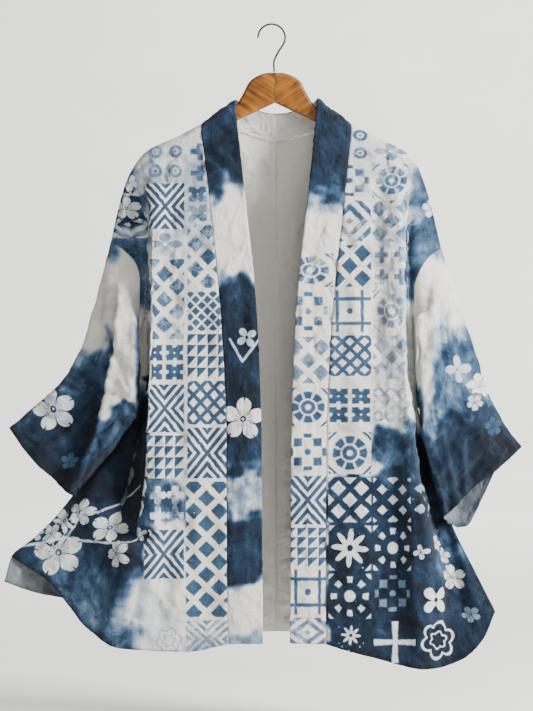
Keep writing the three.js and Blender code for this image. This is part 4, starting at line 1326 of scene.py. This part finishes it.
def collar_front_edge(side):
    rail = COLLAR_EDGE[side]
    angle = math.pi / 2 * np.linspace(0, 1, ROLL_STEPS + 1)[:-1]
    rolled = np.stack([np.full(len(angle), rail["topX"]), -SHOULDER_R * np.sin(angle),
                       rail["topZ"] - SHOULDER_R * (1 - np.cos(angle))], 1)
    down = np.linspace(0, 1, DOWN_STEPS + 1)
    x = smooth(LEVELS, [rail["topX"]] + [rail["x" + level] for level in LEVEL_NAMES])(down)
    y = smooth(LEVELS, [-SHOULDER_R] + [rail["y" + level] for level in LEVEL_NAMES])(down)
    main_z = rail["topZ"] - SHOULDER_R
    return np.concatenate([rolled, np.stack([x, y, main_z + (rail["zHem"] - main_z) * down], 1)])


def collar_back_edge(side, across):
    rail = COLLAR_EDGE[side]
    sign = math.copysign(1, rail["topX"])
    back = column(COLLAR_BACK, "halfX", "y", "z") * [sign, 1, 1] + [BACK_SEAM_X, 0, 0]
    return smooth(np.append(column(COLLAR_BACK, "across"), 0),
                  np.concatenate([back, [[rail["topX"], 0, rail["topZ"]]]]))(across)


def collar_half(side):
    """The band's seam and its free edge, from the hem over the shoulder to the centre back."""
    front = panel_points("front", side, np.array([0.0, 1.0]))[:, 0]
    neck = np.linspace(0, -1, NECK_STEPS + 1)[1:]
    back = panel_points("back", side, np.append(neck[::-1], 1.0))[0, :len(neck)][::-1]
    free = np.concatenate([collar_front_edge(side)[::-1], collar_back_edge(side, neck)])
    return np.concatenate([front[::-1], back]), free


def make_collar():
    (right_seam, right_free), (left_seam, left_free) = (collar_half(side) for side in SIDES)
    seam = np.concatenate([right_seam[:-1], left_seam[::-1]])
    across = np.concatenate([right_free[:-1], left_free[::-1]]) - seam
    whole = np.linalg.norm(across, axis=1, keepdims=True)
    gap = 2 * SEAM / whole
    share = np.linspace(0, 1, COLLAR_ACROSS_STEPS + 1)
    points = seam[:, None, :] + across[:, None, :] * (gap + (1 - gap) * share)[..., None]
    normals = grid_normals(points)
    x, y, z = points[..., 0], points[..., 1], points[..., 2]
    along = run_length(seam)[:, None]
    widths = whole * share[None, :]
    on_front = ramp(-y, 14, 32)
    plump = COLLAR_PLUMP * (1 - (2 * share - 1) ** 4)[None, :]
    amount = plump + on_front * (front_swell(x, z) + crease_field(COLLAR_CREASES, x, z))
    amount = amount + COLLAR_UNEVEN * small_uneven(x + y, z) * ramp(widths, 0, 6)
    amount = amount + puckers(widths, along, COLLAR_PUCKERS) + hem_relief(z + COLLAR_HEM) * on_front
    behind = ramp(y, -6, 6)
    dye = washes(COLLAR_WASHES, x, z) * (1 - behind) + NECK_DYE * behind
    points = points + normals * amount[..., None]
    cloth = np.stack(np.broadcast_arrays(widths, along), 2)
    look = printed(np.stack([x, z], 2), dye, COLLAR_TILES, COLLAR_FLOWERS, COLLAR_LINES)
    return shell("collar_band", points, 1, COLLAR_SHELL, cloth, look, "collar")


panels = {(name, side): make_panel(name, side) for name in ("front", "back") for side in SIDES}
sleeves = {side: make_sleeve(side) for side in SIDES}
collar = make_collar()


# ---------------------------------------------------------------- sewing
STITCH_LONG = 2.2
STITCH_GAP = 2.4
STITCH_R = 0.22
STITCH_SIDES = 5
STITCH_STOPS = np.array([0, 0.2, 0.5, 0.8, 1])
STITCH_LIFT = [-0.3, 0.1, 0.24, 0.1, -0.3]
STITCH_FLAT = 0.8  # the thread is pressed a little flat
NECK_THREAD_DYE = 0.35


def stitches(name, lines):
    """Running stitches: short rounded threads that dip into the cloth at both ends. A line is points, their
    outward normals and the dye there."""
    vertices, faces, dyes = [], [], []
    for points, normals, dye in lines:
        run = run_length(points)
        for start in np.arange(STITCH_GAP, run[-1] - STITCH_LONG - STITCH_GAP, STITCH_LONG + STITCH_GAP):
            faces += tube_faces(len(STITCH_STOPS), STITCH_SIDES, len(vertices))
            at = start + STITCH_LONG * STITCH_STOPS
            centre, out = (np.stack([np.interp(at, run, values[:, k]) for k in range(3)], 1)
                           for values in (points, normals))
            out /= np.linalg.norm(out, axis=1, keepdims=True)
            ahead = centre[-1] - centre[0]
            side = np.cross(ahead / max(np.linalg.norm(ahead), 1e-6), out)
            dyes += [np.interp(start, run, dye)] * (len(at) * STITCH_SIDES)
            for c, o, w, lift in zip(centre, out, side, STITCH_LIFT):
                for angle in circle(STITCH_SIDES):
                    raised = lift + STITCH_FLAT * STITCH_R * math.sin(angle)
                    vertices.append(c + o * raised + w * STITCH_R * math.cos(angle))
    piece = make_mesh(name, vertices, faces, [THREAD])
    layer = piece.data.attributes.new("dye", "FLOAT_VECTOR", "POINT")
    layer.data.foreach_set("vector", np.repeat(np.array(dyes, np.float32), 3))


def hem_line(made):
    """The stitching line of a hem: for each column of the grid, the row that lies HEM_FOLD above its edge."""
    _, points, normals, dye = made
    height = np.cumsum(np.linalg.norm(np.diff(points[::-1], axis=0), axis=2), 0)
    row = len(points) - 2 - np.argmax(height > HEM_FOLD, axis=0)
    columns = np.arange(points.shape[1])
    return points[row, columns], normals[row, columns], dye[row, columns]


def neck_line(made):
    """The second line of sewing inside the back, below the neck seam."""
    _, points, normals, _ = made
    count = BACK_ACROSS_STEPS[0]
    row = ROLL_STEPS + 2
    inward = -normals[row, :count]
    return points[row, :count] + inward * SHELL, inward, np.full(count, NECK_THREAD_DYE)


for name in ("front", "back"):
    stitches("hem_stitches_" + name, [hem_line(panels[name, side]) for side in SIDES])
stitches("cuff_stitches", [hem_line(sleeves[side]) for side in SIDES])
stitches("neck_seam_stitches", [neck_line(panels["back", side]) for side in SIDES])


# ---------------------------------------------------------------- hanger and hook
# Half outline of the hanger: upper edge from the middle out to the tip, then back underneath.
ARM_TOP = [(0.02, -67.7), (13, -68.4), (25, -72.6), (35.5, -80), (44, -95), (52, -109), (60, -118),
           (106, -152), (150, -173), (180, -191), (192, -203), (195, -213)]
ARM_UNDER = [(195, -213), (188, -219), (172, -212), (106, -175), (55, -137), (21, -121), (0.02, -111)]
ARM_HALF_DEPTH = 6
ARM_ROUND = 4.6
ARM_FLAT_IN = 0.8  # how far inside the rounding the flat face begins
ARM_POINTS = 70
ROUND_STEPS = 7
JOINT_CHAMFER = 0.06
GRAIN_SLOPE = 0.56
WIRE_R = 1.4
WIRE_END = 0.62  # the wire's end is eased to this share
BEND_R = 19.4
BEND_FROM, BEND_TO, BEND_POINTS = -0.12, 3.19, 13
WIRE_SIDES = 16
WIRE_POINTS = 160
WIRE_PATH = [(3.8, -66.5), (3.8, -51), (9.3, -39)]


def make_arm(side, sign):
    outline = np.concatenate([through_points(ARM_TOP, ARM_POINTS), through_points(ARM_UNDER, ARM_POINTS)[1:]])
    ahead = np.roll(outline, -1, 0) - np.roll(outline, 1, 0)
    inward = np.stack([ahead[:, 1], -ahead[:, 0]], 1)
    inward /= np.linalg.norm(inward, axis=1, keepdims=True)
    joint = outline[:, 0] < 1
    inward[joint, 0] = JOINT_CHAMFER  # the flat face of the joint in the middle has only a narrow chamfer
    angles = math.pi / 2 * np.arange(ROUND_STEPS + 1) / ROUND_STEPS
    flat_depth = ARM_HALF_DEPTH - ARM_ROUND
    section = [(ARM_ROUND * (1 - math.cos(a)), flat_depth + ARM_ROUND * math.sin(a)) for a in angles]
    section.append((ARM_ROUND + ARM_FLAT_IN, ARM_HALF_DEPTH))
    rings = []
    for inset, depth in [(inset, -depth) for inset, depth in section[::-1]] + section:
        ring = outline + inward * inset
        rings.append(np.stack([ring[:, 0] * sign, np.full(len(ring), depth), ring[:, 1]], 1))
    faces = [face[::sign] for face in tube_faces(len(rings), len(outline))]
    name = "wooden_arm_" + side
    wood = wood_material(name, sign * GRAIN_SLOPE)
    arm = make_mesh(name, np.concatenate(rings), faces, [wood], "hanger_arm_" + side)
    for edge in arm.data.edges:
        edge.use_edge_sharp = all(joint[i % len(outline)] for i in edge.vertices)


def make_hook():
    angles = np.linspace(BEND_FROM, BEND_TO, BEND_POINTS)
    bend = [(BEND_R * math.cos(a), WIRE_R - BEND_R + BEND_R * math.sin(a)) for a in angles]
    path = through_points(WIRE_PATH + bend, WIRE_POINTS)
    ahead = np.gradient(path, axis=0)
    ahead /= np.linalg.norm(ahead, axis=1, keepdims=True)
    radii = [WIRE_R] * (WIRE_POINTS - 1) + [WIRE_R * WIRE_END]
    vertices = []
    for (x, z), (dx, dz), radius in zip(path, ahead, radii):
        for angle in circle(WIRE_SIDES):
            side = radius * math.cos(angle)
            vertices.append((x - dz * side, radius * math.sin(angle), z + dx * side))
    faces = tube_faces(WIRE_POINTS, WIRE_SIDES)
    make_mesh("wire_hook", vertices, faces, [wire_material()], "hook", shift=0)


make_arm("right", -1)
make_arm("left", 1)
make_hook()


# ---------------------------------------------------------------- studio
FLOOR_Z = -1.0
FLOOR_REACH = 12.0
WALL_Y = 9.5  # beyond the place of a camera that looks from behind
WALL_TOP = 8.0
COVE = 3.0
COVE_STEPS = 24


def backdrop():
    """A pale sweep: floor, a round cove and a wall, wide and deep enough for every view."""
    profile = [(-FLOOR_REACH, FLOOR_Z)]
    for k in range(COVE_STEPS + 1):
        angle = math.pi / 2 * k / COVE_STEPS
        profile.append((WALL_Y - COVE + COVE * math.sin(angle), FLOOR_Z + COVE * (1 - math.cos(angle))))
    profile.append((WALL_Y, WALL_TOP))
    n = len(profile)
    vertices = [(x, y, z) for x in (-FLOOR_REACH, FLOOR_REACH) for y, z in profile]
    mesh = bpy.data.meshes.new("backdrop")
    mesh.from_pydata(vertices, [], [(k, k + 1, n + k + 1, n + k) for k in range(n - 1)])
    mesh.polygons.foreach_set("use_smooth", [True] * len(mesh.polygons))
    material, shader = new_material("backdrop_paper")
    paint(shader, noise(object_place(), 3), PAPER_STOPS)
    set_inputs(shader, {"Roughness": 0.95})
    mesh.materials.append(material)
    add_object("backdrop", mesh)


def area_light(name, place, target, size, watts, colour):
    data = bpy.data.lights.new(name, "AREA")
    data.shape = "RECTANGLE"
    data.size, data.size_y = size
    data.energy = watts
    data.color = colour
    light = add_object(name, data)
    light.location = place
    direction = mathutils.Vector(target) - light.location
    light.rotation_euler = direction.to_track_quat("-Z", "Y").to_euler()


backdrop()
area_light("window", (2.4, -1.4, 0.45), (0, 0, -0.45), (1.0, 1.4), 300, (1.0, 0.98, 0.94))
area_light("front", (0.35, -1.9, 0.85), (0, 0, -0.3), (1.0, 0.8), 22, (1.0, 0.98, 0.95))
area_light("fill", (-2.2, -2.2, -0.1), (0, 0, -0.5), (2.0, 2.0), 4, (0.94, 0.97, 1.0))
area_light("top", (0.6, 2.2, 3.4), (0.3, 1.9, -1.0), (3.2, 3.2), 190, (1.0, 1.0, 1.0))
area_light("wall_wash", (1.6, 4.8, 4.4), (0.4, 9.5, -0.6), (4.0, 2.4), 760, (1.0, 1.0, 0.99))
world = bpy.data.worlds.new("studio")
bpy.context.scene.world = world
world.use_nodes = True
background = world.node_tree.nodes["Background"]
set_inputs(background, {"Color": (0.90, 0.89, 0.865, 1), "Strength": 0.25})

# ---------------------------------------------------------------- camera
LENS = 150.0
SENSOR = 36.0
FRAME_HEIGHT = 1.010  # what the frame's height takes in at the garment's front
GARMENT_Y = -0.020
TARGET_X, TARGET_Z = -0.0072, -0.4716
camera_data = bpy.data.cameras.new("camera")
camera_data.lens = LENS
camera_data.sensor_width = SENSOR
camera = add_object("camera", camera_data)
camera.location = (TARGET_X, GARMENT_Y - LENS / SENSOR * FRAME_HEIGHT, TARGET_Z)
camera.rotation_euler = (math.pi / 2, 0, 0)
bpy.context.scene.camera = camera
